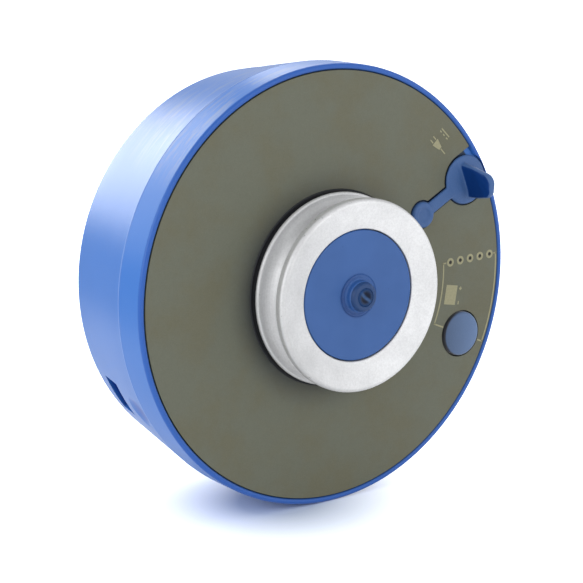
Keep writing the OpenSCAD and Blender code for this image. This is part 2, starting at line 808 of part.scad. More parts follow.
// Cover: a domed disc with a tapered spigot, a strap to its anchor and a tall flat grip
module socket_plug() {
    dome_z = hinge_z - strap_t + plug_edge_t;
    dome_r = (plug_r * plug_r + plug_dome * plug_dome) / (2 * plug_dome);
    dome_half = asin(plug_r / dome_r);
    grip_r = grip_t / 2;
    strap_from = hinge_pos_r + hinge_gap;
    color(soft_blue) in_place() {
        at_socket() {
            revolve(concat(
                [[0, cover_z], [spigot_end_r - spigot_wall, cover_z]],
                [[spigot_end_r - spigot_wall, deck_z - spigot_h], [spigot_end_r, deck_z - spigot_h]],
                [[spigot_top_r, deck_z], [spigot_top_r, cover_z], [plug_r - 0.4, cover_z]],
                [[plug_r, cover_z + 0.4]],
                arc(0, dome_z + plug_dome - dome_r, dome_r, 90 - dome_half, 90, 10)
            ));
            hull() for (s = [-1, 1]) {
                rotate(grip_turn) translate([0, s * (grip_w / 2 - grip_r), dome_z])
                    sphere(r = grip_r, $fn = 32);
                translate([grip_lean[0], grip_lean[1], unit_depth + grip_h - grip_r])
                    rotate(grip_turn + grip_twist) translate([0, s * (grip_top_w / 2 - grip_r), 0])
                        sphere(r = grip_r, $fn = 32);
            }
        }
        at_polar(strap_from, socket_angle, cover_z) translate([0, -strap_w / 2, 0])
            cube([socket_pos_r - plug_r + 2 - strap_from, strap_w, strap_t]);
    }
}

module connector_frame(z) {
    at_polar(connector_pos_r, connector_angle, z) children();
}

module hub_connector() {
    color(near_black) in_place() connector_frame(connector_sink) difference() {
        union() {
            translate([-connector_d / 2, -connector_w / 2, 0]) cube([connector_d, connector_w, connector_h]);
            translate([-connector_d / 2 - 1, -connector_w / 2 - 2, floor_t - connector_sink])
                cube([connector_d + 2, connector_w + 4, 1.6]);
        }
        for (i = [-1.5:1.5]) translate([0, i * contact_pitch, -1])
            cylinder(r = contact_r + 0.05, h = connector_h + 2);
    }
}

module hub_contacts() {
    color(brass_tone) in_place() connector_frame(connector_sink + 0.6) for (i = [-1.5:1.5])
        translate([0, i * contact_pitch, 0]) difference() {
            cylinder(r = contact_r, h = connector_h + contact_tail - 0.6);
            translate([0, 0, -1]) cylinder(r = contact_bore_r, h = 9);
        }
}

module hub_lead(i) {
    from_z = connector_sink + connector_h + contact_tail;
    connector_frame(from_z) translate([0, i * contact_pitch, 0])
        cylinder(r = lead_r, h = board_z - from_z);
}

module positive_lead() {
    color([0.75, 0.12, 0.10]) in_place() hub_lead(-1.5);
}

module negative_lead() {
    color(near_black) in_place() hub_lead(1.5);
}

module socket_lead() {
    run_z = board_z + board_t + lead_r + 0.4;
    elbow_r = lead_r + 0.15;
    color([0.75, 0.12, 0.10]) in_place() {
        rotate([0, 0, socket_angle]) rotate_extrude(angle = socket_lead_end - socket_angle)
            translate([socket_lead_pos_r, run_z]) circle(r = lead_r);
        at_polar(socket_lead_pos_r, socket_angle, run_z) {
            sphere(r = elbow_r);
            cylinder(r = lead_r, h = socket_bottom_z - run_z);
        }
        at_polar(socket_lead_pos_r, socket_lead_end, run_z) sphere(r = elbow_r);
        at_polar(socket_lead_pos_r, socket_lead_end, board_z + board_t)
            cylinder(r = lead_r, h = run_z - board_z - board_t);
    }
}

// Knob: a turned spool with a round finger groove between its two flanges
module knob_ring() {
    rear_c = knob_base_r - knob_rim_round;
    front_c = knob_front_r - knob_edge_r;
    groove_c = min(rear_c, knob_front_r - 1);
    recess_r = cap_r + cap_gap;
    dish_z = knob_top_z - face_dish;
    color(bright_metal) in_place() difference() {
        revolve(concat(
            [[hollow_r, knob_z], [knob_foot_r - 0.5, knob_z], [knob_foot_r, knob_z + 0.5]],
            [[knob_foot_r, knob_rear_z], [knob_base_r - 0.3, knob_rear_z], [knob_base_r, knob_rear_z + 0.3]],
            arc(rear_c, knob_rim_z - knob_rim_round, knob_rim_round, 0, 90, 6),
            arc(groove_c, groove_mid_z, groove_r, -90, -270, 18),
            arc(knob_front_r - 1, groove_top_z + 1, 1, -90, 0, 4),
            arc(front_c, knob_top_z - knob_edge_r, knob_edge_r, 0, 90, 8),
            [[recess_r + 0.3, dish_z], [recess_r, dish_z - 0.3], [recess_r, cap_floor_z]],
            [[tube_r + run_gap, cap_floor_z], [tube_r + run_gap, web_z], [hollow_r, web_z]]
        ));
        at_knob_screws() translate([0, 0, web_z - 1])
            cylinder(r = knob_screw_r + 0.2, h = web_t + 2);
    }
}

module knob_cap() {
    groove_ring_r = boss_r + 2;
    groove_half = 0.85;
    groove_arc_r = 1.1;
    under_z = cap_z - cap_t;
    boss_top_z = cap_z + boss_h;
    color(cap_blue) in_place() revolve(concat(
        [[spring_bore_r, cap_floor_z], [boss_r + 1.8, cap_floor_z], [boss_r + 1.8, under_z]],
        [[cap_r - cap_skirt_t, under_z], [cap_r - cap_skirt_t, cap_floor_z], [cap_r, cap_floor_z]],
        [[cap_r, cap_z - 0.3], [cap_r - 0.3, cap_z]],
        arc(groove_ring_r, cap_z + groove_arc_r - 0.4, groove_arc_r, -40, -140, 8),
        arc(boss_r + 0.8, cap_z + 0.8, 0.8, -90, -180, 4),
        arc(boss_r - 0.8, boss_top_z - 0.8, 0.8, 0, 90, 6),
        [[boss_bore_r + 0.4, boss_top_z], [boss_bore_r, boss_top_z - 0.4]],
        [[boss_bore_r, boss_step_z], [spring_bore_r, boss_step_z]]
    ));
}

module knob_screws() {
    color(steel_grey) in_place() at_knob_screws() difference() {
        union() {
            translate([0, 0, tube_flange_z + 0.5]) cylinder(r = knob_screw_r, h = flange_t + web_t);
            translate([0, 0, cap_floor_z]) cylinder(r = knob_screw_head_r, h = knob_screw_head_t);
        }
        hex_socket(cap_floor_z + knob_screw_head_t - hex_depth);
    }
}

// Lock tube: flange for the knob, axle bore with two angled slots for the hub's lugs
module lug_slot() {
    slot_r = axle_r + lug_slot_depth;
    slot_h = 2 * lug_slot_w;
    half = asin(lug_slot_w / 2 / slot_r);
    intersection() {
        cylinder(r = slot_r, h = pilot_depth + slot_h);
        translate([0, -lug_slot_w / 2, pilot_depth - 1]) cube([slot_r, lug_slot_w, slot_h + 1]);
    }
    translate([0, 0, pilot_depth + lug_slot_w])
        sector(axle_r - 1, slot_r, lug_slot_w, 0, lock_turn + half);
}

module lock_tube() {
    groove_z = pilot_depth + floor_t - circlip_t - 2 * circlip_gap;
    groove_bottom_r = tube_r - 0.8;
    bore_end_z = pilot_depth + axle_bore_h;
    color(steel_grey) in_place() difference() {
        revolve([
            [axle_r, pilot_depth], [tube_r, pilot_depth], [tube_r, groove_z],
            [groove_bottom_r, groove_z], [groove_bottom_r, groove_z + circlip_t + circlip_gap],
            [tube_r, groove_z + circlip_t + circlip_gap], [tube_r, collar_z], [collar_r, collar_z],
            [collar_r, tube_flange_z], [tube_flange_r, tube_flange_z], [tube_flange_r, web_z],
            [tube_r, web_z], [tube_r, cap_floor_z], [spring_bore_r, cap_floor_z],
            [spring_bore_r, spring_seat_z], [rod_r + run_gap, spring_seat_z],
            [rod_r + run_gap, bore_end_z], [axle_r, bore_end_z]
        ]);
        for (a = [0, 180]) rotate([0, 0, a]) lug_slot();
        at_knob_screws() translate([0, 0, tube_flange_z - 1])
            cylinder(r = knob_screw_r + thread_gap, h = flange_t + 2);
    }
}

module tube_circlip() {
    clip_z = pilot_depth + floor_t - circlip_t - circlip_gap;
    color(near_black) in_place() translate([0, 0, clip_z])
        sector(tube_r - 0.75, bush_out_r - 0.6, circlip_t, 25, 310);
}

module friction_washer() {
    color(steel_grey) in_place() translate([0, 0, collar_z - 0.8])
        ring(collar_r, tube_r + 0.3, 0.6);
}

// Release button: a turned head with a coned dimple, bored from below for its push rod
module release_button() {
    top_z = cap_z + boss_h + release_proud;
    bore_r = tenon_r + tenon_gap;
    bore_end_z = button_flange_z + tenon_h + tenon_gap;
    color(steel_grey) in_place() revolve([
        [0, top_z - 1.2], [release_r - 1.2, top_z], [release_r - 0.5, top_z], [release_r, top_z - 0.5],
        [release_r, button_flange_z + button_flange_t], [button_flange_r, button_flange_z + button_flange_t],
        [button_flange_r, button_flange_z], [bore_r, button_flange_z], [bore_r, bore_end_z], [0, bore_end_z]
    ]);
}

// Push rod: from its tenon in the button down through the lock tube
module push_rod() {
    color(steel_grey) in_place() revolve([
        [0, rod_end_z], [rod_r - 0.5, rod_end_z], [rod_r, rod_end_z + 0.5], [rod_r, button_flange_z],
        [tenon_r, button_flange_z], [tenon_r, button_flange_z + tenon_h], [0, button_flange_z + tenon_h]
    ]);
}

// Release spring: one tube of six sides swept along a helix
module release_spring() {
    sides = 6;
    rings_per_turn = 12;
    rings = spring_turns * rings_per_turn;
    from_z = spring_seat_z + spring_wire_r + 0.05;
    to_z = button_flange_z - spring_wire_r - 0.05;
    rise = (to_z - from_z) / rings;
    points = [
        for (k = [0:rings], s = [0:sides - 1])
            let (
                turn = 360 * k / rings_per_turn,
                a = 360 * s / sides,
                r = spring_coil_r + spring_wire_r * cos(a)
            ) [r * cos(turn), r * sin(turn), from_z + rise * k + spring_wire_r * sin(a)]
    ];
    skin = [
        for (k = [0:rings - 1], s = [0:sides - 1])
            let (next = (s + 1) % sides, a = k * sides)
                [[a + s, a + next, a + sides + s], [a + next, a + sides + next, a + sides + s]]
    ];
    walls = [for (pair = skin, face = pair) face];
    ends = [[for (s = [sides - 1:-1:0]) s], [for (s = [0:sides - 1]) rings * sides + s]];
    color(steel_grey) in_place() polyhedron(points, concat(walls, ends));
}

module power_button() {
    rim_r = power_r - power_edge_round;
    dome_r = (rim_r * rim_r + power_dome * power_dome) / (2 * power_dome);
    dome_half = asin(rim_r / dome_r);
    dome_c_z = power_edge_z + power_dome - dome_r;
    skirt_r = power_r - 1.5;
    under_z = unit_depth - 1.4;
    stem_z = switch_top_z - power_travel - 0.6;
    color(soft_blue) in_place() at_power_button() revolve(concat(
        [[0, stem_z], [power_stem_r, stem_z], [power_stem_r, under_z], [skirt_r, under_z]],
        [[skirt_r, power_flange_z], [power_flange_r, power_flange_z]],
        [[power_flange_r, power_flange_z + power_flange_t], [power_r, power_flange_z + power_flange_t]],
        arc(rim_r, power_edge_z - power_edge_round, power_edge_round, 0, 78, 6),
        arc(0, dome_c_z, dome_r, 90 - dome_half, 90, 10)
    ));
}

rear_housing();
front_bezel();
face_plate();
housing_seal();
housing_screws();
knob_seal_ring();
front_bush();
rear_bush();
cell_carrier();
for (i = [1:cell_count]) cell(i);
cell_links();
insulating_disc();
main_board();
controller_chip();
board_capacitors();
fuse_holder();
fuse();
board_screws();
display_board();
charge_leds();
light_pipe();
power_switch();
charging_socket();
socket_contacts();
strap_anchor();
hub_connector();
hub_contacts();
positive_lead();
negative_lead();
socket_lead();
knob_ring();
knob_cap();
knob_screws();
lock_tube();
tube_circlip();
friction_washer();
release_button();
push_rod();
release_spring();
power_button();
socket_plug();
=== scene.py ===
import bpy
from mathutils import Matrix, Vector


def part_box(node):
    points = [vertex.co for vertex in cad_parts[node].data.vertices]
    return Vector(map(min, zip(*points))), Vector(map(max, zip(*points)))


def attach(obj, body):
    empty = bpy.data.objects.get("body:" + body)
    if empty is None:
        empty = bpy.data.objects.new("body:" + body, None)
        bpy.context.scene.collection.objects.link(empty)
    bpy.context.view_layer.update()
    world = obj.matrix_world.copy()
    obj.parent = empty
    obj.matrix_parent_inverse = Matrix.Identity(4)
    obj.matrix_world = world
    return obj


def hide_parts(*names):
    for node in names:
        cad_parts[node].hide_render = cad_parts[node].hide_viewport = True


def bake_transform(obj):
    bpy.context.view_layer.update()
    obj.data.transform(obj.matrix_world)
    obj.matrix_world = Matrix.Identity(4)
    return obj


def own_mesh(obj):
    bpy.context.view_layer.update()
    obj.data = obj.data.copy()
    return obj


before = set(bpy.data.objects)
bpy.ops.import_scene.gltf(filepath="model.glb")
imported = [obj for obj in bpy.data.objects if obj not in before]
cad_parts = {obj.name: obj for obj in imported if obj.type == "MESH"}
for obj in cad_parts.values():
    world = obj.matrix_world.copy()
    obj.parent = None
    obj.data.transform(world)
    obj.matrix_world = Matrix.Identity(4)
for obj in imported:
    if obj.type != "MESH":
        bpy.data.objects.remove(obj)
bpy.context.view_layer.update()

# Finishes, face print, rubber cover and studio for the hub power unit of a wheelchair wheel.
# The drum's axis lies along Y and its face looks towards -Y. New pieces are modelled upright,
# with the face plate's front at height zero, and are then seated on the drum.

import math

import bmesh
import bpy
from bpy.props import FloatProperty, FloatVectorProperty, IntProperty, PointerProperty
from mathutils import Matrix, Vector

bl_info = {
    "name": "Hub Power Unit Finishes",
    "version": (1, 0, 0),
    "blender": (4, 5, 0),
    "location": "3D View > Sidebar > Power Unit",
    "description": "Finishes, face print, rubber cover and studio for a wheel hub power unit",
    "category": "Object",
}

MM = 0.001
MERGE = 0.002 * MM
NEAR = 0.1 * MM
# Name of the mark that carries the painted shade on the grip's flat face
FACE_SHADE = "deep"

FACE_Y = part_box("face_plate")[0].y
RIM_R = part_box("front_bezel")[1].x
PLATE_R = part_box("face_plate")[1].x
FLOOR_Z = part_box("front_bezel")[0].z
SPLIT = -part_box("front_bezel")[1].y
PLATE_UNDER = FACE_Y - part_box("face_plate")[1].y


def middle(node):
    """Middle of a node's box."""
    low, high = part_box(node)
    return (low + high) / 2


def polar_of(node):
    """Distance from the drum's axis, and angle in degrees, of a node's middle."""
    spot = middle(node)
    return math.hypot(spot.x, spot.z), math.degrees(math.atan2(spot.z, spot.x))


SOCKET_R, SOCKET_ANGLE = polar_of("charging_socket")
ANCHOR_R = polar_of("strap_anchor")[0]
LIGHT_ANGLE = polar_of("light_pipe")[1]
BUTTON_R, BUTTON_ANGLE = polar_of("power_button")

# Sizes that no node's box gives
BUTTON_HOLE_R = 11.6 * MM
DRAFT = 7.8 * MM
REAR_EDGE = 10 * MM
KNOB_FLANGE = 5 * MM
CAP_RING = 9 * MM

# Where the finishes change
# Lower left side, towards which painted shade grows on the plate, the knob and round the cap's boss
SHADED_SIDE = (-0.94, 0, -0.34)
RUBBED_SIDE = (-0.5, 0, 0.866)
FLOOR_AWAY = (-0.75, 0.66, 0)
RECESS_DEPTHS = (0.15 * MM, 2.0 * MM)
NOTCH_EDGE = (14 * MM, 17 * MM)
SEAM = 0.3 * MM
DECK = -FACE_Y - 8 * MM
RUBBER_GLINT = 0.4
PAPER = (0.86, 0.86, 0.86)
MIRRORED_PAPER = (0.34, 0.35, 0.37)
SHADED_PAPER = (0.53, 0.61, 0.77)


def linear(red, green, blue):
    """A colour given as it is seen, from 0 to 255, in the values that a shader takes."""
    shares = [part / 255 for part in (red, green, blue)]
    return [part / 12.92 if part <= 0.04045 else ((part + 0.055) / 1.055) ** 2.4 for part in shares]


def colour(name, about, seen):
    """A colour that a user can change, given as it is seen."""
    return FloatVectorProperty(
        name=name, description=about, subtype="COLOR", size=3, min=0, max=1, default=linear(*seen)
    )


def length(name, about, millimetres):
    """A length that a user can change."""
    return FloatProperty(
        name=name, description=about, subtype="DISTANCE", unit="LENGTH", default=millimetres * MM
    )


def angle(name, about, degrees):
    """An angle that a user can change."""
    return FloatProperty(
        name=name, description=about, subtype="ANGLE", unit="ROTATION", default=math.radians(degrees)
    )


def watts(name, about, power):
    """A light's power that a user can change."""
    return FloatProperty(name=name, description=about, subtype="POWER", unit="POWER", default=power)


class UnitColours(bpy.types.PropertyGroup):
    shell: colour("Shell", "Blue of the moulded drum", (47, 104, 182))
    # Painted shade: the lip's front face is the drum's blue, painted deeper
    lip: colour("Lip", "Deeper blue of the polished lip round the face", (38, 84, 164))
    scuff: colour("Scuffs", "Grey of the rub marks on the drum", (128, 138, 160))
    plate: colour("Plate", "Olive of the face plate", (90, 93, 79))
    plate_warm: colour("Plate, warm", "Yellowish patches in the plate's coat", (91, 89, 68))
    ink: colour("Ink", "Cream ink of the face print", (142, 139, 110))
    metal: colour("Knob", "Blasted aluminium of the knob", (240, 241, 243))
    cap: colour("Cap", "Blue of the knob's cap", (44, 86, 148))
    crown: colour("Crown", "Deep blue of the worn crown round the button", (18, 57, 106))
    rubber: colour("Rubber", "Blue rubber of the button", (74, 104, 147))
    cover: colour("Cover", "Blue rubber of the cover", (50, 86, 138))
    # Painted shade on the grip's flat face and round the cap's boss, and painted dark reflection in the
    # release button's dimple, all in this deep blue
    grip: colour("Grip", "Deep blue of the grip's flat face", (12, 49, 108))
    seal: colour("Seal", "Black rubber of the seals", (20, 21, 26))
    # Painted shade round the knob's foot, laid on the plate and on the outer part of the seal ring
    knob_shade: colour("Grime", "Dirt round the knob's foot", (44, 48, 54))
    steel: colour("Steel", "Steel of screws and tube", (150, 151, 152))
    pin: colour("Pin", "Worn, bluish steel of the release button", (54, 84, 128))
    # Painted shade: deep blue laid inside the side pockets and the scoops before them
    pocket_shade: colour("Pocket", "Deep blue inside the side pockets", (14, 50, 140))


class PrintSizes(bpy.types.PropertyGroup):
    rise: length("Rise", "Height of the ink above the plate", 0.05)
    line: length("Line", "Width of the printed frame's lines", 0.75)
    inner: length("Inner line", "Radius of the frame's inner arc", 66.1)
    outer: length("Outer line", "Radius of the frame's outer arc", 99.1)
    light_first: length("First light", "Distance of the first light from the drum's axis", 70.4)
    light_pitch: length("Light pitch", "Spacing of the lights", 6.2)
    light_count: IntProperty(name="Lights", description="Number of charge lights", default=5)
    light_ring: length("Light ring", "Outer radius of the printed ring round a light", 2.1)
    light_window: length("Light window", "Inner radius of that ring", 1.0)
    cell_r: length("Battery mark", "Distance of the battery mark from the drum's axis", 72.0)
    cell_angle: angle("Battery mark angle", "Angle of the battery mark", -10)
    cell_width: length("Battery mark width", "Size of the battery mark along the radius", 7.0)
    cell_height: length("Battery mark height", "Size of the battery mark across the radius", 9.6)
    plug_r: length("Plug mark", "Distance of the plug mark from the drum's axis", 86.5)
    plug_angle: angle("Plug mark angle", "Angle of the plug mark", 45)
    current_r: length("Current mark", "Distance of the direct-current mark from the drum's axis", 93.0)
    current_angle: angle("Current mark angle", "Angle of the direct-current mark", 45.5)


class CoverSizes(bpy.types.PropertyGroup):
    disc: length("Disc", "Radius of the cover's disc", 11.95)
    disc_edge: length("Disc edge", "Height of the disc's edge above the plate", 0.45)
    disc_dome: length("Disc dome", "Height of the disc's dome above its edge", 0.95)
    strap: length("Strap", "Width of the strap", 6.1)
    pad: length("Pad", "Radius of the strap's round end", 6.3)
    pad_dimple: length("Dimple", "Depth of the dimple in the strap's round end", 0.7)
    grip_foot: length("Grip foot", "Width of the grip at its foot", 18.6)
    grip_top: length("Grip top", "Width of the grip at its top", 10.2)
    grip_height: length("Grip height", "Height of the grip above the plate", 18.4)
    grip_thick: length("Grip thickness", "Thickness of the grip", 3.8)
    grip_round: length("Grip rounding", "Radius of the grip's rounded edges", 1.5)
    grip_corner: length("Grip corner", "Radius of the grip's two upper corners", 3.6)
    grip_bow: FloatProperty(name="Grip bow", description="Widening of the grip at its waist", default=1.08)
    grip_turn: angle("Grip turn", "Angle of the grip's foot across the disc", -8)
    grip_twist: angle("Grip twist", "Twist of the grip from foot to top", -26)
    grip_lean_out: length("Grip lean", "Shift of the grip's top, away from the knob", 0.6)
    grip_lean_down: length("Grip side lean", "Shift of the grip's top, along the disc", -1.8)
    shift_out: length("Shift out", "Play of the cover in its cut-out, away from the knob", 0.2)
    shift_down: length("Shift down", "Play of the cover in its cut-out, across the strap", -0.42)
    grain: length("Skin", "Edge length of the finished skin's faces", 0.38)


class CrownSizes(bpy.types.PropertyGroup):
    radius: length("Crown", "Radius of the crown at its foot", 6.9)
    bore: length("Crown bore", "Radius of the crown's bore for the button", 4.27)
    below: length("Set back", "Height of the button above the crown", 0.3)


class StudioSettings(bpy.types.PropertyGroup):
    eye: FloatVectorProperty(
        name="Camera", description="Place of the camera", subtype="TRANSLATION", unit="LENGTH",
        default=(-0.48064, -0.72220, 0.17913),
    )
    heading: angle("Heading", "Direction of the view, counted from +Y towards +X", 35.04)
    tilt: angle("Tilt", "Angle of the view below the horizon", 12.588)
    lens: FloatProperty(
        name="Lens", description="Focal length for a 36 mm frame", unit="CAMERA", default=111.15
    )
    right_power: watts("Right softbox", "Power of the low softbox at the front right", 2.9)
    front_power: watts("Front softbox", "Power of the softbox in front of the face", 4.7)
    left_power: watts("Left softbox", "Power of the softbox at the left", 8.9)
    back_power: watts("Back softbox", "Power of the softbox behind the unit", 9.3)
    rim_power: watts("Rim softbox", "Power of the small softbox behind on the left", 1.6)
    high_power: watts("High softbox", "Power of the small high softbox behind the unit", 2.5)
    corner_power: watts("Corner softbox", "Power of the high softbox behind on the right", 8.4)
    large: length("Large softbox", "Side length of a large softbox", 900)
    middle: length("Middle softbox", "Side length of the back softbox", 720)
    small: length("Small softbox", "Side length of a small softbox", 600)
    sky: FloatProperty(name="Surround", description="Strength of the even light all round", default=0.85)
    gloss_sky: FloatProperty(
        name="Mirrored surround", description="Strength of that light in gloss", default=0.525
    )
    shade_spot: FloatVectorProperty(
        name="Shadow", description="Middle of the floor's shaded patch", subtype="TRANSLATION",
        unit="LENGTH", default=(-0.022, -0.056, 0),
    )
    near: length("Shadow core", "Distance from that middle within which the shadow has its full depth", 18)
    far: length("Shadow edge", "Distance from which the floor is as white as the surround", 78)
    dim_from: length("Dim floor from", "Distance behind the unit where the mirrored floor starts to dim", 250)
    dim_to: length("Dim floor to", "Distance behind the unit from which the mirrored floor is dim", 420)


GROUPS = {
    "unit_colours": UnitColours,
    "print_sizes": PrintSizes,
    "cover_sizes": CoverSizes,
    "crown_sizes": CrownSizes,
    "studio_settings": StudioSettings,
}


# Modelling helpers


def clear_selection():
    """Leaves edit mode and deselects everything, the CAD nodes too."""
    if bpy.context.mode != "OBJECT":
        bpy.ops.object.mode_set(mode="OBJECT")
    bpy.ops.object.select_all(action="DESELECT")


def named(name):
    """Names the primitive that was just added."""
    piece = bpy.context.object
    piece.name = name
    piece.data.name = name
    return piece


def picked(piece):
    """Selects one piece alone, and makes it the active one."""
    clear_selection()
    piece.select_set(True)
    bpy.context.view_layer.objects.active = piece
    return piece


def settled(piece):
    """Leaves a piece's place in its mesh, so that its object sits at the origin."""
    picked(piece)
    bpy.ops.object.transform_apply(location=True, rotation=True, scale=True)
    return piece


def start_edit(piece):
    """Opens a piece in edit mode, with all of it selected."""
    picked(piece)
    bpy.ops.object.mode_set(mode="EDIT")
    bpy.ops.mesh.select_mode(type="VERT")
    bpy.ops.mesh.select_all(action="SELECT")


def end_edit():
    """Merges doubles, turns the faces outwards and leaves edit mode."""
    bpy.ops.mesh.select_all(action="SELECT")
    bpy.ops.mesh.remove_doubles(threshold=MERGE)
    bpy.ops.mesh.normals_make_consistent(inside=False)
    bpy.ops.object.mode_set(mode="OBJECT")


def choose(piece, test, kind="faces"):
    """In edit mode, selects only the faces, edges or corners that pass the test."""
    bpy.ops.mesh.select_mode(type={"faces": "FACE", "edges": "EDGE", "verts": "VERT"}[kind])
    bpy.ops.mesh.select_all(action="DESELECT")
    shape = bmesh.from_edit_mesh(piece.data)
    for part in getattr(shape, kind):
        if test(part):
            part.select_set(True)
    shape.select_flush_mode()
    bmesh.update_edit_mesh(piece.data)


def block(name, low, high, soft=0.0, cuts=1):
    """A box between two corners, made from a unit cube, with its edges rounded."""
    clear_selection()
    bpy.ops.mesh.primitive_cube_add(size=1)
    piece = named(name)
    start_edit(piece)
    span = Vector(high) - Vector(low)
    bpy.ops.transform.resize(value=span)
    bpy.ops.transform.translate(value=(Vector(high) + Vector(low)) / 2)
    if soft:
        bpy.ops.mesh.bevel(offset=soft, segments=cuts, affect="EDGES")
    end_edit()
    return piece


def turned(name, outline, steps=96):
    """A turned solid: one corner is drawn along an outline of radius and height, then spun round Z."""
    clear_selection()
    bpy.ops.mesh.primitive_plane_add(size=MM)
    piece = named(name)
    start_edit(piece)
    bpy.ops.mesh.merge(type="CENTER")
    bpy.ops.transform.translate(value=(outline[0][0], 0, outline[0][1]))
    for before, after in zip(outline, outline[1:]):
        step = (after[0] - before[0], 0, after[1] - before[1])
        bpy.ops.mesh.extrude_region_move(TRANSFORM_OT_translate={"value": step})
    bpy.ops.mesh.select_all(action="SELECT")
    bpy.ops.mesh.spin(steps=steps, angle=math.tau, center=(0, 0, 0), axis=(0, 0, 1))
    end_edit()
    return piece


def bow(centre, radius, start, end, steps):
    """Points of an arc in an outline, with its angles in degrees."""
    turns = [math.radians(start + (end - start) * i / steps) for i in range(steps + 1)]
    return [(centre[0] + radius * math.cos(t), centre[1] + radius * math.sin(t)) for t in turns]


def curved_bar(name, radius, width, rise, start, sweep, steps):
    """A bar of rectangular section that follows an arc round Z."""
    clear_selection()
    bpy.ops.mesh.primitive_plane_add(size=1, rotation=(math.pi / 2, 0, 0))
    piece = settled(named(name))
    start_edit(piece)
    bpy.ops.transform.resize(value=(width, 1, rise))
    bpy.ops.transform.translate(value=(radius, 0, rise / 2))
    bpy.ops.mesh.spin(steps=steps, angle=-sweep, center=(0, 0, 0), axis=(0, 0, 1))
    end_edit()
    piece.rotation_euler.z = start
    return settled(piece)


def joined(name, pieces):
    """Joins pieces into the first of them."""
    picked(pieces[0])
    for piece in pieces:
        piece.select_set(True)
    bpy.ops.object.join()
    return named(name)


def seated(piece, radius=0.0, turn=0.0):
    """Moves an upright piece to its place on the face, and leaves that place in its mesh."""
    place = Matrix.Rotation(math.pi / 2, 4, "X") @ Matrix.Rotation(turn, 4, "Z")
    piece.matrix_world = Matrix.Translation((0, FACE_Y, 0)) @ place @ Matrix.Translation((radius, 0, 0))
    return settled(piece)


def finish_with(piece, kind, **settings):
    """Adds a modifier, sets it and applies it."""
    picked(piece)
    step = piece.modifiers.new(kind.title(), kind)
    for key, value in settings.items():
        setattr(step, key, value)
    bpy.ops.object.modifier_apply(modifier=step.name)
    return piece


def smoothed(piece, degrees):
    """Shades a piece smooth where its faces meet at less than an angle."""
    picked(piece)
    bpy.ops.object.shade_smooth_by_angle(angle=math.radians(degrees))
    return piece


# Finish helpers


def darker(tone, share):
    return [part * share for part in tone]


def lighter(tone, more):
    return [part + more for part in tone]


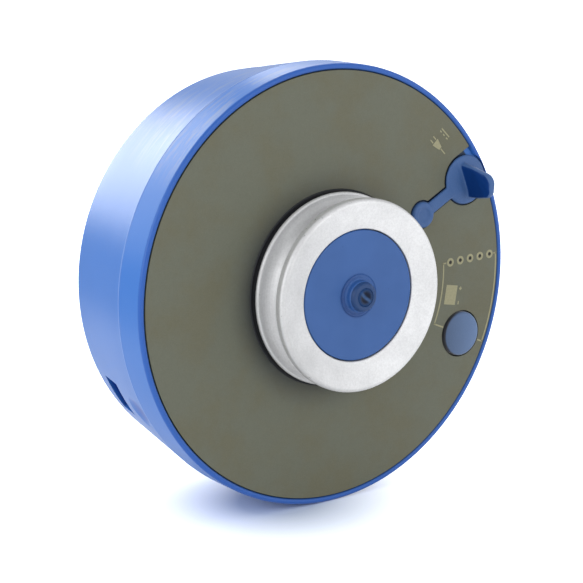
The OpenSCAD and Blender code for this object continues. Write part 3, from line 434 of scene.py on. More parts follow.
class Finish:
    """One material: a principled shader and the nodes that vary it over the object."""

    def __init__(self, name, tone, **constants):
        self.material = bpy.data.materials.new(name)
        self.material.use_nodes = True
        self.tree = self.material.node_tree
        self.shader = self.tree.nodes["Principled BSDF"]
        self.place = self.add("ShaderNodeTexCoord").outputs["Object"]
        self.tone = tone
        self.normal = None
        self.set(**constants)

    def add(self, kind, links=None, **settings):
        """Adds a node, with what its sockets take."""
        made = self.tree.nodes.new(kind)
        for key, value in settings.items():
            setattr(made, key, value)
        for socket, source in (links or {}).items():
            self.feed(made.inputs[socket], source)
        return made

    def feed(self, socket, source):
        """Links a socket to another node's output, or sets it to a plain value."""
        if isinstance(source, bpy.types.NodeSocket):
            self.tree.links.new(source, socket)
        elif socket.type == "RGBA":
            socket.default_value = (*source, 1)
        else:
            socket.default_value = source

    def set(self, **sources):
        """Feeds the shader's own sockets, by their names with underscores."""
        for socket, source in sources.items():
            self.feed(self.shader.inputs[socket.replace("_", " ")], source)

    def stretched(self, scale, turn=(0, 0, 0)):
        """The object's coordinates, drawn out along an axis."""
        links = {"Vector": self.place, "Scale": scale, "Rotation": turn}
        return self.add("ShaderNodeMapping", links).outputs["Vector"]

    def noise(self, scale, detail=3.0, rough=0.55, place=None):
        links = {"Vector": place or self.place, "Scale": scale, "Detail": detail, "Roughness": rough}
        return self.add("ShaderNodeTexNoise", links).outputs["Fac"]

    def cells(self, scale, feature="F1"):
        links = {"Vector": self.place, "Scale": scale}
        return self.add("ShaderNodeTexVoronoi", links, feature=feature).outputs["Distance"]

    def ramp(self, source, low, high, to_low=0.0, to_high=1.0):
        """A share that grows between two values."""
        links = {0: source, 1: low, 2: high, 3: to_low, 4: to_high}
        return self.add("ShaderNodeMapRange", links, clamp=True).outputs[0]

    def fall(self, source, low, high):
        """A share that is full up to one value and gone from another."""
        return self.ramp(source, low, high, 1.0, 0.0)

    def maths(self, operation, first, second=0.0):
        return self.add("ShaderNodeMath", {0: first, 1: second}, operation=operation).outputs[0]

    def product(self, first, *others):
        """Several shares multiplied."""
        for other in others:
            first = self.maths("MULTIPLY", first, other)
        return first

    def away(self, source, middle):
        """How far a value lies from a middle, on either side."""
        return self.maths("ABSOLUTE", self.maths("SUBTRACT", source, middle))

    def lay(self, tone, *shares):
        """Lays a tone over the earlier ones, as far as the shares multiplied say."""
        made = self.add("ShaderNodeMix", data_type="RGBA")
        for socket, source in ((0, self.product(*shares)), (6, self.tone), (7, tone)):
            self.feed(made.inputs[socket], source)
        self.tone = made.outputs[2]

    def measure(self, operation, place, other):
        links = {0: place, 1: other}
        return self.add("ShaderNodeVectorMath", links, operation=operation).outputs["Value"]

    def radius(self, centre=(0, 0)):
        """Distance from an axis along Y through a centre given in X and Z."""
        return self.measure("DISTANCE", self.stretched((1, 0, 1)), (centre[0], 0, centre[1]))

    def along(self, direction):
        """Place along a direction, from the origin."""
        return self.measure("DOT_PRODUCT", self.place, direction)

    def depth(self):
        """Place along the drum's axis: zero at the rear seat, growing towards the face."""
        return self.along((0, -1, 0))

    def turning(self, scale):
        """Noise that depends only on the distance from the drum's axis, like a lathe tool's rings."""
        rings = self.add("ShaderNodeCombineXYZ", {0: self.product(self.radius(), scale)})
        return self.noise(1.0, 2.0, 0.6, rings.outputs[0])

    def recess_shade(self):
        """Share of painted shade in the pockets and in the scoops in front of them, by how far they lie under
        the drum.
        """
        drum = self.ramp(self.depth(), 0, SPLIT, RIM_R - DRAFT, RIM_R)
        under = self.ramp(self.maths("SUBTRACT", drum, self.radius()), *RECESS_DEPTHS)
        before = self.fall(self.depth(), SPLIT, SPLIT + 0.2 * MM)
        return self.product(under, before, self.ramp(self.depth(), REAR_EDGE, REAR_EDGE + 2 * MM, 0.0, 0.85))

    def seam(self):
        """Share of the painted highlight on the thin edge along which the two shells meet."""
        return self.ramp(self.away(self.depth(), SPLIT), SEAM, 2 * SEAM, 0.8, 0.0)

    def deck(self):
        """Share of painted shade on the sunk deck under the face plate, seen in the gaps round plate and
        cover.
        """
        low = self.ramp(self.depth(), DECK, DECK + 0.5 * MM)
        return self.product(low, self.fall(self.radius(), PLATE_R - 3.2 * MM, PLATE_R - 2.6 * MM))

    def groove(self):
        """Share of painted shade in the groove between plate and lip, which the cover's notch leaves open."""
        inner = self.fall(self.radius(), PLATE_R + 0.2 * MM, PLATE_R + 1.1 * MM)
        outer = self.ramp(self.radius(), PLATE_R - 1 * MM, PLATE_R - 0.6 * MM)
        turn = math.radians(SOCKET_ANGLE)
        socket = (SOCKET_R * math.cos(turn), SOCKET_R * math.sin(turn))
        beside = self.ramp(self.radius(socket), *NOTCH_EDGE)
        return self.product(inner, outer, beside, self.ramp(self.depth(), DECK, DECK + 1 * MM))

    def crescent(self, centre, reach, shift):
        """Share of shade on a round piece: growing to the left, and full outside a circle shifted right."""
        off = self.radius((centre[0] + shift, centre[1]))
        edge = self.ramp(off, reach - 0.5 * MM, reach + 0.3 * MM)
        soft = self.ramp(self.along((-1, 0, 0)), -centre[0] - reach, -centre[0] + reach, 0.0, 0.45)
        return self.maths("MAXIMUM", edge, soft)

    def relief(self, height, distance, strength):
        """Lays a bump layer over the earlier ones."""
        links = {"Height": height, "Distance": distance * MM, "Strength": strength}
        if self.normal:
            links["Normal"] = self.normal
        self.normal = self.add("ShaderNodeBump", links).outputs["Normal"]

    def done(self, rough):
        """Closes the finish with its tone, its roughness and its relief."""
        self.set(Base_Color=self.tone, Roughness=rough, Normal=self.normal)
        return self.material


def dress(material, *nodes):
    """Gives CAD nodes their material."""
    for node in nodes:
        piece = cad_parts[node]
        if not piece.data.materials:
            piece.data.materials.append(material)
        for i in range(len(piece.material_slots)):
            piece.material_slots[i].material = material


def shell_finish(name, tones, share):
    """Satin moulded plastic with soft clouds and rub marks, and painted light: shade on the lip, in the
    pockets, on the deck and in the groove, and a highlight along the seam.
    """
    base = darker(tones.shell, share)
    look = Finish(name, base, Specular_IOR_Level=0.4, Specular_Tint=(0.84, 0.98, 1))
    clouds = look.noise(14, 2.0)
    look.lay(darker(base, 0.93), look.ramp(clouds, 0.35, 0.7))
    scuff = look.ramp(look.noise(6, 6.0, 0.7, look.stretched((60, 9, 60))), 0.62, 0.78)
    look.lay(lighter(base, 0.06), scuff, 0.35)
    streaks = look.ramp(look.noise(6, 5.0, 0.7, look.stretched((9, 70, 9))), 0.48, 0.62)
    rubbed = look.ramp(look.along(RUBBED_SIDE), RIM_R - 13 * MM, RIM_R - 3 * MM)
    look.lay(tones.scuff, streaks, rubbed, 0.5)
    rare = look.ramp(look.noise(210, 2.0), 0.62, 0.68)
    look.lay(darker(base, 0.55), look.fall(look.cells(900), 0.0, 0.07), rare)
    # Painted shade in the pockets and scoops
    look.lay(tones.pocket_shade, look.recess_shade())
    # Painted highlight along the seam
    look.lay(lighter(base, 0.1), look.seam())
    # Painted shade on the lip's front face
    edge = look.ramp(look.depth(), -FACE_Y - 1.6 * MM, -FACE_Y - 0.3 * MM)
    look.lay(tones.lip, edge, look.ramp(look.radius(), RIM_R - 3.2 * MM, RIM_R - 2.2 * MM))
    # Painted shade on the deck under the plate
    look.lay(darker(tones.shell, 0.1), look.deck())
    # Painted shade in the groove at the notch
    look.lay(darker(tones.lip, 0.3), look.groove())
    look.relief(look.noise(45, 1.0), 0.12, 0.35)
    look.relief(look.noise(2600, 2.0, 0.6), 0.02, 0.5)
    satin = look.ramp(clouds, 0.3, 0.7, 0.32, 0.4)
    return look.done(look.maths("ADD", satin, look.product(scuff, 0.08)))


def plate_finish(tones):
    """Matt coated metal: olive with warm patches, a fine mottle, faint rub marks and painted shade round the
    knob, heavier at its lower left.
    """
    look = Finish("coated_olive", tones.plate, Specular_IOR_Level=0.42)
    patches = look.ramp(look.noise(38, 4.0, 0.62), 0.42, 0.62)
    look.lay(tones.plate_warm, patches, 0.75)
    look.lay(darker(tones.plate, 0.6), look.ramp(look.noise(520, 3.0, 0.7), 0.3, 0.72), 0.2)
    look.lay(lighter(tones.plate, 0.05), look.ramp(look.noise(1500, 3.0, 0.7), 0.35, 0.68), 0.22)
    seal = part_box("knob_seal_ring")[1].x
    near = look.maths("POWER", look.fall(look.radius(), seal - 1 * MM, seal + 14 * MM), 1.8)
    # Painted shade: the plate darkens towards the knob's foot, most on the lower left
    look.lay(tones.knob_shade, near, look.ramp(look.along(SHADED_SIDE), -30 * MM, 45 * MM, 0.2, 0.85))
    look.relief(look.noise(1900, 3.0, 0.65), 0.018, 0.6)
    rub = look.ramp(look.noise(90, 5.0, 0.65, look.stretched((1, 1, 3.2), (0, 0.6, 0))), 0.4, 0.75)
    return look.done(look.maths("ADD", look.ramp(patches, 0, 1, 0.5, 0.56), look.product(rub, 0.05)))


def knob_finish(tones):
    """Blasted aluminium with dark nicks along the flange, painted shade on its left side and painted shade in
    the top of its groove.
    """
    metal = tones.metal
    look = Finish("blasted_aluminium", metal, Metallic=0.85)
    cloud = look.noise(70, 4.0, 0.6)
    look.lay(darker(metal, 0.9), look.ramp(cloud, 0.3, 0.72))
    grain = look.noise(3200, 2.0, 0.6)
    look.lay(darker(metal, 0.72), look.ramp(grain, 0.3, 0.7, 0.0, 0.3))
    look.lay(darker(metal, 0.6), look.ramp(look.noise(950, 4.0, 0.75), 0.38, 0.68), 0.34)
    # Painted shade: the knob darker towards its left side
    look.lay(darker(metal, 0.35), look.ramp(look.along(SHADED_SIDE), -5 * MM, 42 * MM, 0.0, 0.3))
    low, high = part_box("knob_ring")
    front = -low.y - KNOB_FLANGE
    # Painted shade in the groove's upper part, under the front flange
    hollow = look.ramp(look.along((0, -1, 0.14)), front - 8.5 * MM, front - 6.5 * MM, 0.0, 0.34)
    within = look.fall(look.radius(), high.x - 1.2 * MM, high.x - 0.6 * MM)
    behind = look.fall(look.depth(), front, front + 0.4 * MM)
    above = look.ramp(look.along((0, 0, 1)), 8 * MM, 38 * MM)
    look.lay(darker(metal, 0.2), hollow, within, behind, above)
    edge = look.ramp(look.radius(), high.x - 2.4 * MM, high.x - 0.8 * MM)
    look.lay(darker(metal, 0.25), edge, look.ramp(look.noise(330, 4.0, 0.75), 0.64, 0.69), 0.75)
    look.relief(look.turning(2600), 0.01, 0.35)
    look.relief(grain, 0.02, 0.7)
    return look.done(look.ramp(cloud, 0.3, 0.7, 0.56, 0.66))


def cap_finish(name, tones, base):
    """Matt blue cap with fine grain, a few dark specks, and painted shade in the groove round its boss, on
    its lower left.
    """
    look = Finish(name, base, Specular_IOR_Level=0.45)
    look.lay(darker(base, 0.92), look.ramp(look.noise(60, 3.0), 0.35, 0.7))
    rare = look.ramp(look.noise(95, 1.0), 0.60, 0.66, 0.0, 0.6)
    look.lay(darker(base, 0.4), look.fall(look.cells(260), 0.0, 0.10), rare)
    # Painted shade: deep blue in the ring groove round the boss, on the lower left side
    ring = look.fall(look.away(look.radius(), CAP_RING), 0.6 * MM, 1.8 * MM)
    side = look.ramp(look.along(SHADED_SIDE), -9 * MM, 8 * MM, 0.0, 0.8)
    uneven = look.ramp(look.noise(260, 4.0, 0.7), 0.25, 0.6, 0.5, 1.0)
    look.lay(tones.grip, ring, side, uneven)
    look.relief(look.noise(2300, 2.0, 0.6), 0.02, 0.6)
    return look.done(look.ramp(look.noise(120, 3.0), 0.3, 0.7, 0.46, 0.56))


def rubber_finish(name, tone, sheen=0.25, rough=(0.5, 0.62), deep=None, shaded=None):
    """Soft moulded rubber with a powdery bloom, painted shade where the piece marks it, as a deeper tone with
    less gloss and sheen, and a painted crescent of shade where asked.
    """
    look = Finish(name, tone, Specular_IOR_Level=RUBBER_GLINT, Sheen_Weight=sheen, Sheen_Roughness=0.5)
    bloom = look.ramp(look.noise(160, 4.0, 0.65), 0.35, 0.72)
    look.lay(lighter(darker(tone, 0.85), 0.02), bloom, 0.3)
    look.lay(lighter(tone, 0.08), look.ramp(look.noise(1200, 3.0, 0.7), 0.5, 0.75), 0.2)
    # Painted shade where the piece marks it: a deeper tone with less gloss and sheen
    if deep:
        share = look.add("ShaderNodeAttribute", attribute_name=FACE_SHADE).outputs["Fac"]
        look.lay(deep, share)
        look.set(Specular_IOR_Level=look.ramp(share, 0, 1, RUBBER_GLINT, 0.05))
        look.set(Sheen_Weight=look.ramp(share, 0, 1, sheen, 0.0))
    if shaded:
        look.lay((0.01, 0.012, 0.02), look.crescent(*shaded))
    look.relief(look.noise(2100, 3.0, 0.6), 0.02, 0.6)
    return look.done(look.ramp(bloom, 0, 1, *rough))


def seal_finish(tones):
    """Rubber ring round the knob: black at the knob, and further out painted unevenly with the plate's
    painted shade.
    """
    look = Finish("knob_seal_rubber", tones.seal, Specular_IOR_Level=0.35)
    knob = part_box("knob_ring")[1].x
    dust = look.ramp(look.noise(700, 3.0, 0.7), 0.35, 0.7, 0.75, 1.0)
    # Painted shade: the ring's outer part takes the tone of the plate's painted shade
    look.lay(tones.knob_shade, look.ramp(look.radius(), knob + 0.2 * MM, knob + 1.2 * MM), dust)
    look.relief(look.noise(2100, 3.0, 0.6), 0.02, 0.6)
    return look.done(look.ramp(dust, 0.75, 1.0, 0.55, 0.7))


def ink_finish(tones):
    """Screen-printed cream ink, thin enough for the plate to show through in places."""
    look = Finish("cream_ink", tones.ink, Specular_IOR_Level=0.4)
    thin = look.ramp(look.noise(900, 4.0, 0.7), 0.45, 0.8)
    look.lay(tones.plate_warm, thin, 0.35)
    look.relief(look.noise(2600, 2.0), 0.01, 0.5)
    return look.done(look.ramp(thin, 0, 1, 0.5, 0.62))


def pin_finish(tones):
    """Worn bluish steel, with a painted reflection in its dimple: two dark lobes and a lighter stripe between
    them.
    """
    look = Finish("worn_pin", tones.pin, Specular_IOR_Level=0.2)
    tarnish = look.ramp(look.noise(500, 4.0, 0.65), 0.35, 0.7)
    look.lay(darker(tones.pin, 0.5), tarnish, 0.4)
    look.lay(tones.crown, look.ramp(look.radius(), 2.4 * MM, 3.6 * MM))
    # Painted reflection: two dark lobes in the dimple, split by a lighter stripe
    hollow = look.ramp(look.radius(), 2.2 * MM, 4.2 * MM, 0.97, 0.0)
    stripe = look.maths("ABSOLUTE", look.along((0.66, 0, 0.75)))
    look.lay(darker(tones.grip, 0.12), hollow, look.ramp(stripe, 0.3 * MM, 1.1 * MM))
    look.relief(look.noise(1500, 3.0, 0.6), 0.015, 0.5)
    return look.done(look.ramp(tarnish, 0, 1, 0.42, 0.58))


def steel_finish(tones):
    """Turned steel with fine rings and a little tarnish."""
    look = Finish("turned_steel", tones.steel, Metallic=1.0)
    tarnish = look.ramp(look.noise(380, 4.0, 0.65), 0.4, 0.75)
    look.lay(darker(tones.steel, 0.45), tarnish, 0.5)
    look.relief(look.turning(5200), 0.01, 0.6)
    return look.done(look.ramp(tarnish, 0, 1, 0.26, 0.42))


def sheet_metal_finish(name, tone):
    """Rolled strip with fine lines and a dull film."""
    look = Finish(name, tone, Metallic=1.0)
    film = look.ramp(look.noise(240, 3.0, 0.6), 0.35, 0.7)
    look.lay(darker(tone, 0.6), film, 0.4)
    look.relief(look.noise(400, 3.0, 0.7, look.stretched((1, 1, 14))), 0.01, 0.5)
    return look.done(look.ramp(film, 0, 1, 0.3, 0.45))


def plastic_finish(name, tone, rough=(0.4, 0.55), grain=1500):
    """Plain moulded plastic with a light grain and uneven gloss."""
    look = Finish(name, tone, Specular_IOR_Level=0.5)
    clouds = look.ramp(look.noise(90, 3.0), 0.35, 0.7)
    look.lay(darker(tone, 0.8), clouds, 0.3)
    look.relief(look.noise(grain, 2.0), 0.02, 0.5)
    return look.done(look.ramp(clouds, 0, 1, *rough))


def board_finish():
    """Circuit board: solder mask over a net of fine copper tracks."""
    look = Finish("circuit_board", linear(24, 84, 52), Specular_IOR_Level=0.55)
    tracks = look.fall(look.cells(420, "DISTANCE_TO_EDGE"), 0.03, 0.07)
    look.lay(linear(64, 132, 86), tracks, 0.55)
    look.lay(linear(196, 176, 120), look.fall(look.cells(260), 0.10, 0.14), 0.8)
    look.relief(tracks, 0.03, 0.6)
    return look.done(look.ramp(tracks, 0, 1, 0.3, 0.22))


# Operators, one for each piece or group of like pieces


class POWERUNIT_OT_finish_drum(bpy.types.Operator):
    """Give the drum's shells and face plate their finishes"""

    bl_idname = "powerunit.finish_drum"
    bl_label = "Finish the Drum"

    def execute(self, context):
        tones = context.scene.unit_colours
        dress(shell_finish("moulded_blue", tones, 1.0), "front_bezel")
        dress(shell_finish("moulded_blue_rear", tones, 0.95), "rear_housing")
        dress(plate_finish(tones), "face_plate")
        dress(seal_finish(tones), "knob_seal_ring")
        dress(rubber_finish("black_rubber", tones.seal, 0.0, (0.55, 0.7)), "housing_seal")
        return {"FINISHED"}


class POWERUNIT_OT_finish_knob(bpy.types.Operator):
    """Give the knob, its cap and its button their finishes"""

    bl_idname = "powerunit.finish_knob"
    bl_label = "Finish the Knob"

    def execute(self, context):
        tones = context.scene.unit_colours
        dress(knob_finish(tones), "knob_ring")
        dress(cap_finish("matt_blue_cap", tones, tones.cap), "knob_cap")
        dress(pin_finish(tones), "release_button")
        steel = ["push_rod", "release_spring", "knob_screws", "lock_tube"]
        steel += ["tube_circlip", "friction_washer", "housing_screws", "board_screws"]
        dress(steel_finish(tones), *steel)
        return {"FINISHED"}


class POWERUNIT_OT_make_crown(bpy.types.Operator):
    """Model the soft crown that rises from the cap's boss to the button's edge"""

    bl_idname = "powerunit.make_crown"
    bl_label = "Make the Crown"

    def execute(self, context):
        sizes = context.scene.crown_sizes
        tones = context.scene.unit_colours
        foot = FACE_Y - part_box("knob_cap")[0].y
        top = FACE_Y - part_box("release_button")[0].y - sizes.below
        bore = sizes.bore
        side = (sizes.radius - bore) / 2
        rim = 0.1 * MM
        outline = [(bore, foot), (sizes.radius, foot)]
        outline += bow((sizes.radius - side * 1.2, top - side), side, 35, 90, 6)
        outline += [(bore + rim, top), (bore, top - rim), (bore, foot)]
        crown = seated(turned("button_crown", outline, 64))
        smoothed(crown, 40)
        crown.data.materials.append(cap_finish("worn_crown", tones, tones.crown))
        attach(crown, "lock_knob")
        return {"FINISHED"}


class POWERUNIT_OT_make_spring(bpy.types.Operator):
    """Copy the release spring into a smoothed piece of its own on the knob, in place of the CAD node"""

    bl_idname = "powerunit.make_spring"
    bl_label = "Make the Spring"

    def execute(self, context):
        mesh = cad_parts["release_spring"].data.copy()
        spring = bpy.data.objects.new("release_spring_coil", mesh)
        context.scene.collection.objects.link(spring)
        start_edit(spring)
        end_edit()
        smoothed(spring, 50)
        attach(spring, "lock_knob")
        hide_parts("release_spring")
        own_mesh(spring)
        return {"FINISHED"}


class POWERUNIT_OT_finish_inside(bpy.types.Operator):
    """Give the cells, boards, bushes, leads and sockets their finishes"""

    bl_idname = "powerunit.finish_inside"
    bl_label = "Finish the Inside"

    def execute(self, context):
        cells = [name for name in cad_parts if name.startswith("cell_") and name[5:].isdigit()]
        dress(plastic_finish("cell_sleeve", linear(40, 92, 66), (0.25, 0.4), 300), *cells)
        dress(sheet_metal_finish("nickel_strip", linear(190, 184, 168)), "cell_links")
        dress(sheet_metal_finish("contact_brass", linear(196, 160, 84)), "socket_contacts", "hub_contacts")
        nylon = ["front_bush", "rear_bush", "cell_carrier", "insulating_disc"]
        dress(plastic_finish("nylon", linear(214, 211, 196), (0.45, 0.6), 900), *nylon)
        dress(board_finish(), "main_board", "display_board")
        black = ["controller_chip", "board_capacitors", "fuse_holder", "power_switch"]
        black += ["charging_socket", "hub_connector"]
        dress(plastic_finish("black_plastic", linear(27, 27, 30)), *black)
        dress(plastic_finish("fuse_plastic", linear(198, 112, 44), (0.2, 0.35)), "fuse")
        dress(plastic_finish("light_lens", linear(120, 24, 22), (0.1, 0.2)), "charge_leds")
        dress(plastic_finish("smoked_pipe", linear(38, 36, 34), (0.12, 0.25), 700), "light_pipe")
        dress(plastic_finish("red_lead", linear(150, 30, 28)), "positive_lead", "socket_lead")
        dress(plastic_finish("black_lead", linear(24, 24, 26)), "negative_lead")
        return {"FINISHED"}


class POWERUNIT_OT_finish_button(bpy.types.Operator):
    """Give the power button its rubber finish"""

    bl_idname = "powerunit.finish_button"
    bl_label = "Finish the Power Button"

    def execute(self, context):
        tones = context.scene.unit_colours
        spot = middle("power_button")
        shade = ((spot.x, spot.z), BUTTON_HOLE_R - 0.7 * MM, 0.9 * MM)
        dress(rubber_finish("button_rubber", tones.rubber, 0.35, shaded=shade), "power_button")
        return {"FINISHED"}


class POWERUNIT_OT_make_cover(bpy.types.Operator):
    """Model the socket's rubber cover in one skin: round pad, strap, disc, spigot and grip"""

    bl_idname = "powerunit.make_cover"
    bl_label = "Make the Cover"

    def execute(self, context):
        sizes = context.scene.cover_sizes
        parts = [self.pad(sizes), self.strap(sizes), self.disc(sizes), self.grip(sizes)]
        for part in parts:
            part.location.x = sizes.shift_out
            part.location.y = sizes.shift_down
        cover = settled(joined("socket_cover_skin", parts))
        finish_with(cover, "REMESH", mode="VOXEL", voxel_size=sizes.grain, use_smooth_shade=True)
        finish_with(cover, "SMOOTH", factor=0.5, iterations=5)
        self.mark_shaded_face(cover, sizes)
        seated(cover, 0, math.radians(SOCKET_ANGLE))
        smoothed(cover, 180)
        tones = context.scene.unit_colours
        cover.data.materials.append(rubber_finish("cover_rubber", tones.cover, 0.06, deep=tones.grip))
        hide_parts("strap_anchor", "socket_plug")
        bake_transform(cover)
        return {"FINISHED"}

    def mark_shaded_face(self, cover, sizes):
        """Marks how far each corner belongs to the grip's flat face, which looks towards the knob and takes
        painted shade.
        """
        facing = self.facing(sizes.grip_turn + sizes.grip_twist / 2)
        foot = sizes.disc_edge + sizes.disc_dome
        slant, slant_fade, foot_fade = 0.72, 0.14, 0.6 * MM
        marks = cover.data.attributes.new(FACE_SHADE, "FLOAT", "POINT")
        for corner, mark in zip(cover.data.vertices, marks.data):
            flat = (corner.normal.dot(facing) - slant) / slant_fade
            above = (corner.co.z - foot) / foot_fade
            mark.value = max(0.0, min(1.0, flat, above))

    def pad(self, sizes):
        """Round end of the strap, with a dimple on top and a stud below that grips the deck."""
        low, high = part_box("strap_anchor")
        top = FACE_Y - low.y
        stud_end = FACE_Y - high.y
        edge = 1.1 * MM
        stud = 2.5 * MM
        dimple_rim = sizes.pad * 0.62
        dimple_floor = sizes.pad * 0.42
        outline = [(0, stud_end), (stud, stud_end), (stud, PLATE_UNDER), (sizes.pad, PLATE_UNDER)]
        outline += bow((sizes.pad - edge, top - edge), edge, 0, 90, 6)
        outline += [(dimple_rim, top), (dimple_floor, top - sizes.pad_dimple)]
        outline += [(0, top - sizes.pad_dimple)]
        piece = turned("pad", outline, 64)
        piece.location.x = ANCHOR_R
        return settled(piece)

    def strap(self, sizes):
        """Flat strap between pad and disc."""
        top = 0.7 * MM
        edge = 0.7 * MM
        under = PLATE_UNDER + 0.3 * MM
        half = sizes.strap / 2
        near = ANCHOR_R + sizes.pad - 2.5 * MM
        far = SOCKET_R - sizes.disc + 3 * MM
        return block("strap", (near, -half, under), (far, half, top), edge, 3)

    def disc(self, sizes):
        """Domed disc with a rounded edge, on a tapered spigot."""
        edge = 0.9 * MM
        lower_edge = 0.4 * MM
        spigot = 8.0 * MM
        tip = 7.3 * MM
        bore = 6.1 * MM
        floor = PLATE_UNDER + 0.3 * MM
        reach = PLATE_UNDER - 5 * MM
        rise = sizes.disc_edge + sizes.disc_dome
        shoulder = sizes.disc - edge
        round_r = (shoulder**2 + sizes.disc_dome**2) / (2 * sizes.disc_dome)
        half = math.degrees(math.asin(shoulder / round_r))
        outline = [(0, floor), (bore, floor), (bore, reach), (tip, reach)]
        outline += [(spigot, PLATE_UNDER), (spigot, floor)]
        outline += [(sizes.disc - lower_edge, floor), (sizes.disc, floor + lower_edge)]
        outline += bow((shoulder, sizes.disc_edge - edge), edge, 0, 80, 6)
        outline += bow((0, rise - round_r), round_r, 90 - half + 3, 90, 10)
        piece = turned("disc", outline)
        piece.location.x = SOCKET_R
        return settled(piece)

    def grip(self, sizes):
        """Tall flat grip across the disc: tapered, twisted and leaning, with bowed and rounded sides."""
        foot = -0.2 * MM
        waist_share = 0.45
        top = sizes.grip_height
        half_foot = sizes.grip_foot / 2
        half_thick = sizes.grip_thick / 2
        piece = block("grip", (-half_thick, -half_foot, foot), (half_thick, half_foot, top))
        start_edit(piece)
        choose(piece, lambda face: face.normal.z > 0.9)
        bpy.ops.transform.resize(value=(1, sizes.grip_top / sizes.grip_foot, 1), center_override=(0, 0, top))
        bpy.ops.transform.rotate(value=-sizes.grip_twist, orient_axis="Z", center_override=(0, 0, top))
        bpy.ops.transform.translate(value=(sizes.grip_lean_out, sizes.grip_lean_down, 0))
        bpy.ops.mesh.select_all(action="SELECT")
        waist = (foot + top) * waist_share
        bpy.ops.mesh.bisect(plane_co=(0, 0, waist), plane_no=(0, 0, 1))
        choose(piece, lambda corner: abs(corner.co.z - waist) < NEAR, "verts")
        centre = (0, sizes.grip_lean_down * waist_share, waist)
        bpy.ops.transform.resize(value=(1, sizes.grip_bow, 1), center_override=centre)
        short = (sizes.grip_thick + sizes.grip_top) / 2
        choose(piece, lambda edge: self.is_top(edge, top) and edge.calc_length() < short, "edges")
        bpy.ops.mesh.bevel(offset=sizes.grip_corner, segments=6, profile=0.5, affect="EDGES")
        facing = self.facing(sizes.grip_twist / 2)
        choose(piece, lambda edge: self.is_outline(edge, facing), "edges")
        bpy.ops.mesh.bevel(offset=sizes.grip_round, segments=5, profile=0.5, affect="EDGES")
        bpy.ops.mesh.select_all(action="SELECT")
        bpy.ops.transform.rotate(value=-sizes.grip_turn, orient_axis="Z", center_override=(0, 0, 0))
        end_edit()
        piece.location.x = SOCKET_R
        return settled(piece)

    def facing(self, turn):
        """Direction, towards the knob, in which the grip's flat face looks when it is turned."""
        return Vector((-math.cos(turn), -math.sin(turn), 0))

    def is_top(self, edge, top):
        """Tells whether an edge lies in the grip's top."""
        return all(abs(corner.co.z - top) < NEAR for corner in edge.verts)

    def is_outline(self, edge, facing):
        """Tells whether an edge lies between a flat face of the grip and its narrow side."""
        slants = sorted(abs(face.normal.dot(facing)) for face in edge.link_faces)
        return slants[0] < 0.5 < slants[1] and edge.verts[0].co.z + edge.verts[1].co.z > 0


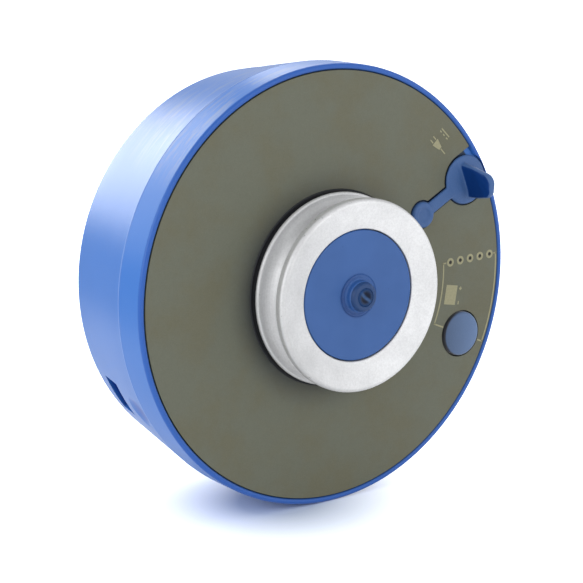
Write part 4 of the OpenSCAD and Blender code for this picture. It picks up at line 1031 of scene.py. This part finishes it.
class POWERUNIT_OT_print_face(bpy.types.Operator):
    """Print the frame, light rings, battery mark and socket marks on the face plate"""

    bl_idname = "powerunit.print_face"
    bl_label = "Print the Face"

    def execute(self, context):
        sizes = context.scene.print_sizes
        ink = ink_finish(context.scene.unit_colours)
        prints = [self.frame_lines(sizes), self.light_rings(sizes), self.battery_mark(sizes)]
        prints += [self.plug_mark(sizes), self.current_mark(sizes)]
        for piece in prints:
            piece.data.materials.append(ink)
            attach(piece, "housing")
        return {"FINISHED"}

    def frame_lines(self, sizes):
        """Two arcs round the drum's axis, closed by short radial ends."""
        top = math.radians(LIGHT_ANGLE)
        bottom = math.radians(BUTTON_ANGLE)
        gap = 0.5 * MM
        reach = BUTTON_HOLE_R + 0.3 * MM
        last = sizes.light_first + sizes.light_pitch * (sizes.light_count - 1)
        parts = []
        for radius in (sizes.inner, sizes.outer):
            bar = curved_bar("arc", radius, sizes.line, sizes.rise, bottom, top - bottom, 48)
            parts.append(seated(bar))
        half = sizes.line / 2
        ends = [
            (sizes.inner - half, sizes.light_first - sizes.light_ring - gap, top),
            (last + sizes.light_ring + gap, sizes.outer + half, top),
            (sizes.inner - half, BUTTON_R - reach, bottom),
            (BUTTON_R + reach, sizes.outer + half, bottom),
        ]
        for near, far, turn in ends:
            bar = block("end", (near, -half, 0), (far, half, sizes.rise))
            parts.append(seated(bar, 0, turn))
        return joined("print_frame", parts)

    def light_rings(self, sizes):
        """A ring round each charge light, modelled once and copied."""
        outline = [
            (sizes.light_window, 0), (sizes.light_ring, 0),
            (sizes.light_ring, sizes.rise), (sizes.light_window, sizes.rise), (sizes.light_window, 0),
        ]
        parts = [turned("ring", outline, 40)]
        for i in range(1, sizes.light_count):
            ring = parts[0].copy()
            ring.data = parts[0].data.copy()
            bpy.context.scene.collection.objects.link(ring)
            parts.append(ring)
        for i, ring in enumerate(parts):
            seated(ring, sizes.light_first + i * sizes.light_pitch, math.radians(LIGHT_ANGLE))
        return joined("print_light_rings", parts)

    def battery_mark(self, sizes):
        """A filled cell with a plus and a minus beside it."""
        wide = sizes.cell_width / 2
        tall = sizes.cell_height / 2
        bar = 0.35 * MM
        reach = 0.85 * MM
        side = wide + 2 * MM
        plus = tall - 1.3 * MM
        minus = reach + bar - tall
        parts = [
            block("cell", (-wide, -tall, 0), (wide, tall, sizes.rise)),
            block("across", (side - reach, plus - bar, 0), (side + reach, plus + bar, sizes.rise)),
            block("lower", (side - bar, plus - reach, 0), (side + bar, plus - bar, sizes.rise)),
            block("upper", (side - bar, plus + bar, 0), (side + bar, plus + reach, sizes.rise)),
            block("minus", (side - bar, minus - reach, 0), (side + bar, minus + reach, sizes.rise)),
        ]
        return seated(joined("print_battery_mark", parts), sizes.cell_r, sizes.cell_angle)

    def plug_mark(self, sizes):
        """A two-pin plug with a short length of lead."""
        rise = sizes.rise
        half_body = 2.1 * MM
        half_wire = 0.3 * MM
        pin_spot = 1.15 * MM
        body = block("body", (-half_body, -2.2 * MM, 0), (half_body, 2.4 * MM, rise))
        start_edit(body)
        choose(body, lambda corner: corner.co.y < 0, "verts")
        bpy.ops.transform.resize(value=(0.45, 1, 1))
        end_edit()
        parts = [body]
        for spot in (-pin_spot, pin_spot):
            parts.append(block("pin", (spot - half_wire, 2.9 * MM, 0), (spot + half_wire, 5.2 * MM, rise)))
        parts.append(block("lead", (-half_wire, -6.2 * MM, 0), (half_wire, -2.6 * MM, rise)))
        return seated(joined("print_plug_mark", parts), sizes.plug_r, sizes.plug_angle)

    def current_mark(self, sizes):
        """The sign for direct current: a bar over three dashes."""
        rise = sizes.rise
        apart = 0.7 * MM
        thick = 0.32 * MM
        reach = 3.2 * MM
        parts = [block("bar", (apart - thick, -reach, 0), (apart + thick, reach, rise))]
        dash = reach / 2.6
        for i in (-1, 0, 1):
            spot = i * (reach - dash / 2)
            low = (-apart - thick, spot - dash / 2, 0)
            parts.append(block("dash", low, (thick - apart, spot + dash / 2, rise)))
        return seated(joined("print_current_mark", parts), sizes.current_r, sizes.current_angle)


class POWERUNIT_OT_make_studio(bpy.types.Operator):
    """Set up the floor, the soft lights and the camera"""

    bl_idname = "powerunit.make_studio"
    bl_label = "Make the Studio"

    def execute(self, context):
        scene = context.scene
        studio = scene.studio_settings
        scene.view_settings.view_transform = "Standard"
        self.floor(studio)
        self.surround(scene, studio)
        boxes = (
            ("right", studio.large, (1.3, -0.9, 0.25)),
            ("front", studio.large, (0.2, -1.5, 0.5)),
            ("left", studio.large, (-1.4, -0.3, 0.5)),
            ("back", studio.middle, (-0.11, 1.44, 0.47)),
            ("rim", studio.small, (-0.75, 1.25, 0.4)),
            ("high", studio.small, (-0.27, 1.1, 0.89)),
            ("corner", studio.large, (0.8, 0.9, 1.0)),
        )
        for side, size, spot in boxes:
            self.softbox(f"{side}_softbox", getattr(studio, f"{side}_power"), size, spot)
        self.camera(scene, studio)
        return {"FINISHED"}

    def floor(self, studio):
        """A wide white sheet under the rim. It keeps the unit's shadow, and fades to white far off."""
        clear_selection()
        bpy.ops.mesh.primitive_plane_add(size=12, location=(0, 0, FLOOR_Z))
        sheet = settled(named("studio_floor"))
        paper = Finish("white_paper", PAPER, Roughness=1.0, Specular_IOR_Level=0.0)
        off = paper.measure("DISTANCE", paper.stretched((1, 1, 0)), studio.shade_spot)
        far = paper.ramp(off, studio.near, studio.far)
        rays = paper.add("ShaderNodeLightPath").outputs
        seen = rays["Is Camera Ray"]
        behind = paper.ramp(paper.along(FLOOR_AWAY), studio.dim_from, studio.dim_to)
        paper.lay(MIRRORED_PAPER, rays["Is Glossy Ray"], behind)
        paper.lay(SHADED_PAPER, seen)
        glow = paper.product(far, seen)
        paper.set(Base_Color=paper.tone, Emission_Color=(1, 1, 1), Emission_Strength=glow)
        sheet.data.materials.append(paper.material)

    def surround(self, scene, studio):
        """Even light all round, which the camera sees as white and gloss sees dimmer."""
        world = bpy.data.worlds.new("studio_surround")
        world.use_nodes = True
        scene.world = world
        tree = world.node_tree
        tree.nodes.clear()
        path = tree.nodes.new("ShaderNodeLightPath")
        even = tree.nodes.new("ShaderNodeValue")
        even.outputs[0].default_value = studio.sky
        strength = even.outputs[0]
        for ray, wanted in (("Is Camera Ray", 1.0), ("Is Glossy Ray", studio.gloss_sky)):
            share = tree.nodes.new("ShaderNodeMath")
            share.operation = "MULTIPLY_ADD"
            tree.links.new(path.outputs[ray], share.inputs[0])
            share.inputs[1].default_value = wanted - studio.sky
            tree.links.new(strength, share.inputs[2])
            strength = share.outputs[0]
        plain = tree.nodes.new("ShaderNodeBackground")
        plain.inputs["Color"].default_value = (1, 1, 1, 1)
        tree.links.new(strength, plain.inputs["Strength"])
        end = tree.nodes.new("ShaderNodeOutputWorld")
        tree.links.new(plain.outputs[0], end.inputs["Surface"])

    def softbox(self, name, power, size, spot):
        """A square light that faces the unit."""
        lamp = bpy.data.lights.new(name, "AREA")
        lamp.shape = "SQUARE"
        lamp.size = size
        lamp.energy = power
        box = bpy.data.objects.new(name, lamp)
        bpy.context.scene.collection.objects.link(box)
        box.location = spot
        aim = Vector((0, FACE_Y / 2, 0)) - Vector(spot)
        box.rotation_euler = aim.to_track_quat("-Z", "Y").to_euler()
        box.visible_camera = False

    def camera(self, scene, studio):
        view = bpy.data.cameras.new("studio_camera")
        view.sensor_width = 36
        view.lens = studio.lens
        view.clip_start = 0.01
        eye = bpy.data.objects.new("studio_camera", view)
        scene.collection.objects.link(eye)
        eye.location = studio.eye
        flat = math.cos(studio.tilt)
        aim = (math.sin(studio.heading) * flat, math.cos(studio.heading) * flat, -math.sin(studio.tilt))
        eye.rotation_euler = Vector(aim).to_track_quat("-Z", "Y").to_euler()
        scene.camera = eye


OPERATORS = (
    POWERUNIT_OT_finish_drum,
    POWERUNIT_OT_finish_knob,
    POWERUNIT_OT_make_crown,
    POWERUNIT_OT_make_spring,
    POWERUNIT_OT_finish_inside,
    POWERUNIT_OT_finish_button,
    POWERUNIT_OT_make_cover,
    POWERUNIT_OT_print_face,
    POWERUNIT_OT_make_studio,
)


class POWERUNIT_PT_sidebar(bpy.types.Panel):
    """Lists the unit's sizes, colours and operators"""

    bl_idname = "POWERUNIT_PT_sidebar"
    bl_label = "Power Unit"
    bl_space_type = "VIEW_3D"
    bl_region_type = "UI"
    bl_category = "Power Unit"

    def draw(self, context):
        for group in GROUPS:
            box = self.layout.box()
            settings = getattr(context.scene, group)
            for name in settings.__annotations__:
                box.prop(settings, name)
        for operator in OPERATORS:
            self.layout.operator(operator.bl_idname)


def register():
    for name, group in GROUPS.items():
        bpy.utils.register_class(group)
        setattr(bpy.types.Scene, name, PointerProperty(type=group))
    for operator in OPERATORS:
        bpy.utils.register_class(operator)
    bpy.utils.register_class(POWERUNIT_PT_sidebar)


def unregister():
    bpy.utils.unregister_class(POWERUNIT_PT_sidebar)
    for operator in reversed(OPERATORS):
        bpy.utils.unregister_class(operator)
    for name, group in reversed(GROUPS.items()):
        delattr(bpy.types.Scene, name)
        bpy.utils.unregister_class(group)


def main():
    register()
    clear_selection()
    bpy.ops.powerunit.finish_drum()
    bpy.ops.powerunit.finish_knob()
    bpy.ops.powerunit.make_crown()
    bpy.ops.powerunit.make_spring()
    bpy.ops.powerunit.finish_inside()
    bpy.ops.powerunit.finish_button()
    bpy.ops.powerunit.make_cover()
    bpy.ops.powerunit.print_face()
    bpy.ops.powerunit.make_studio()


if __name__ == "__main__":
    main()
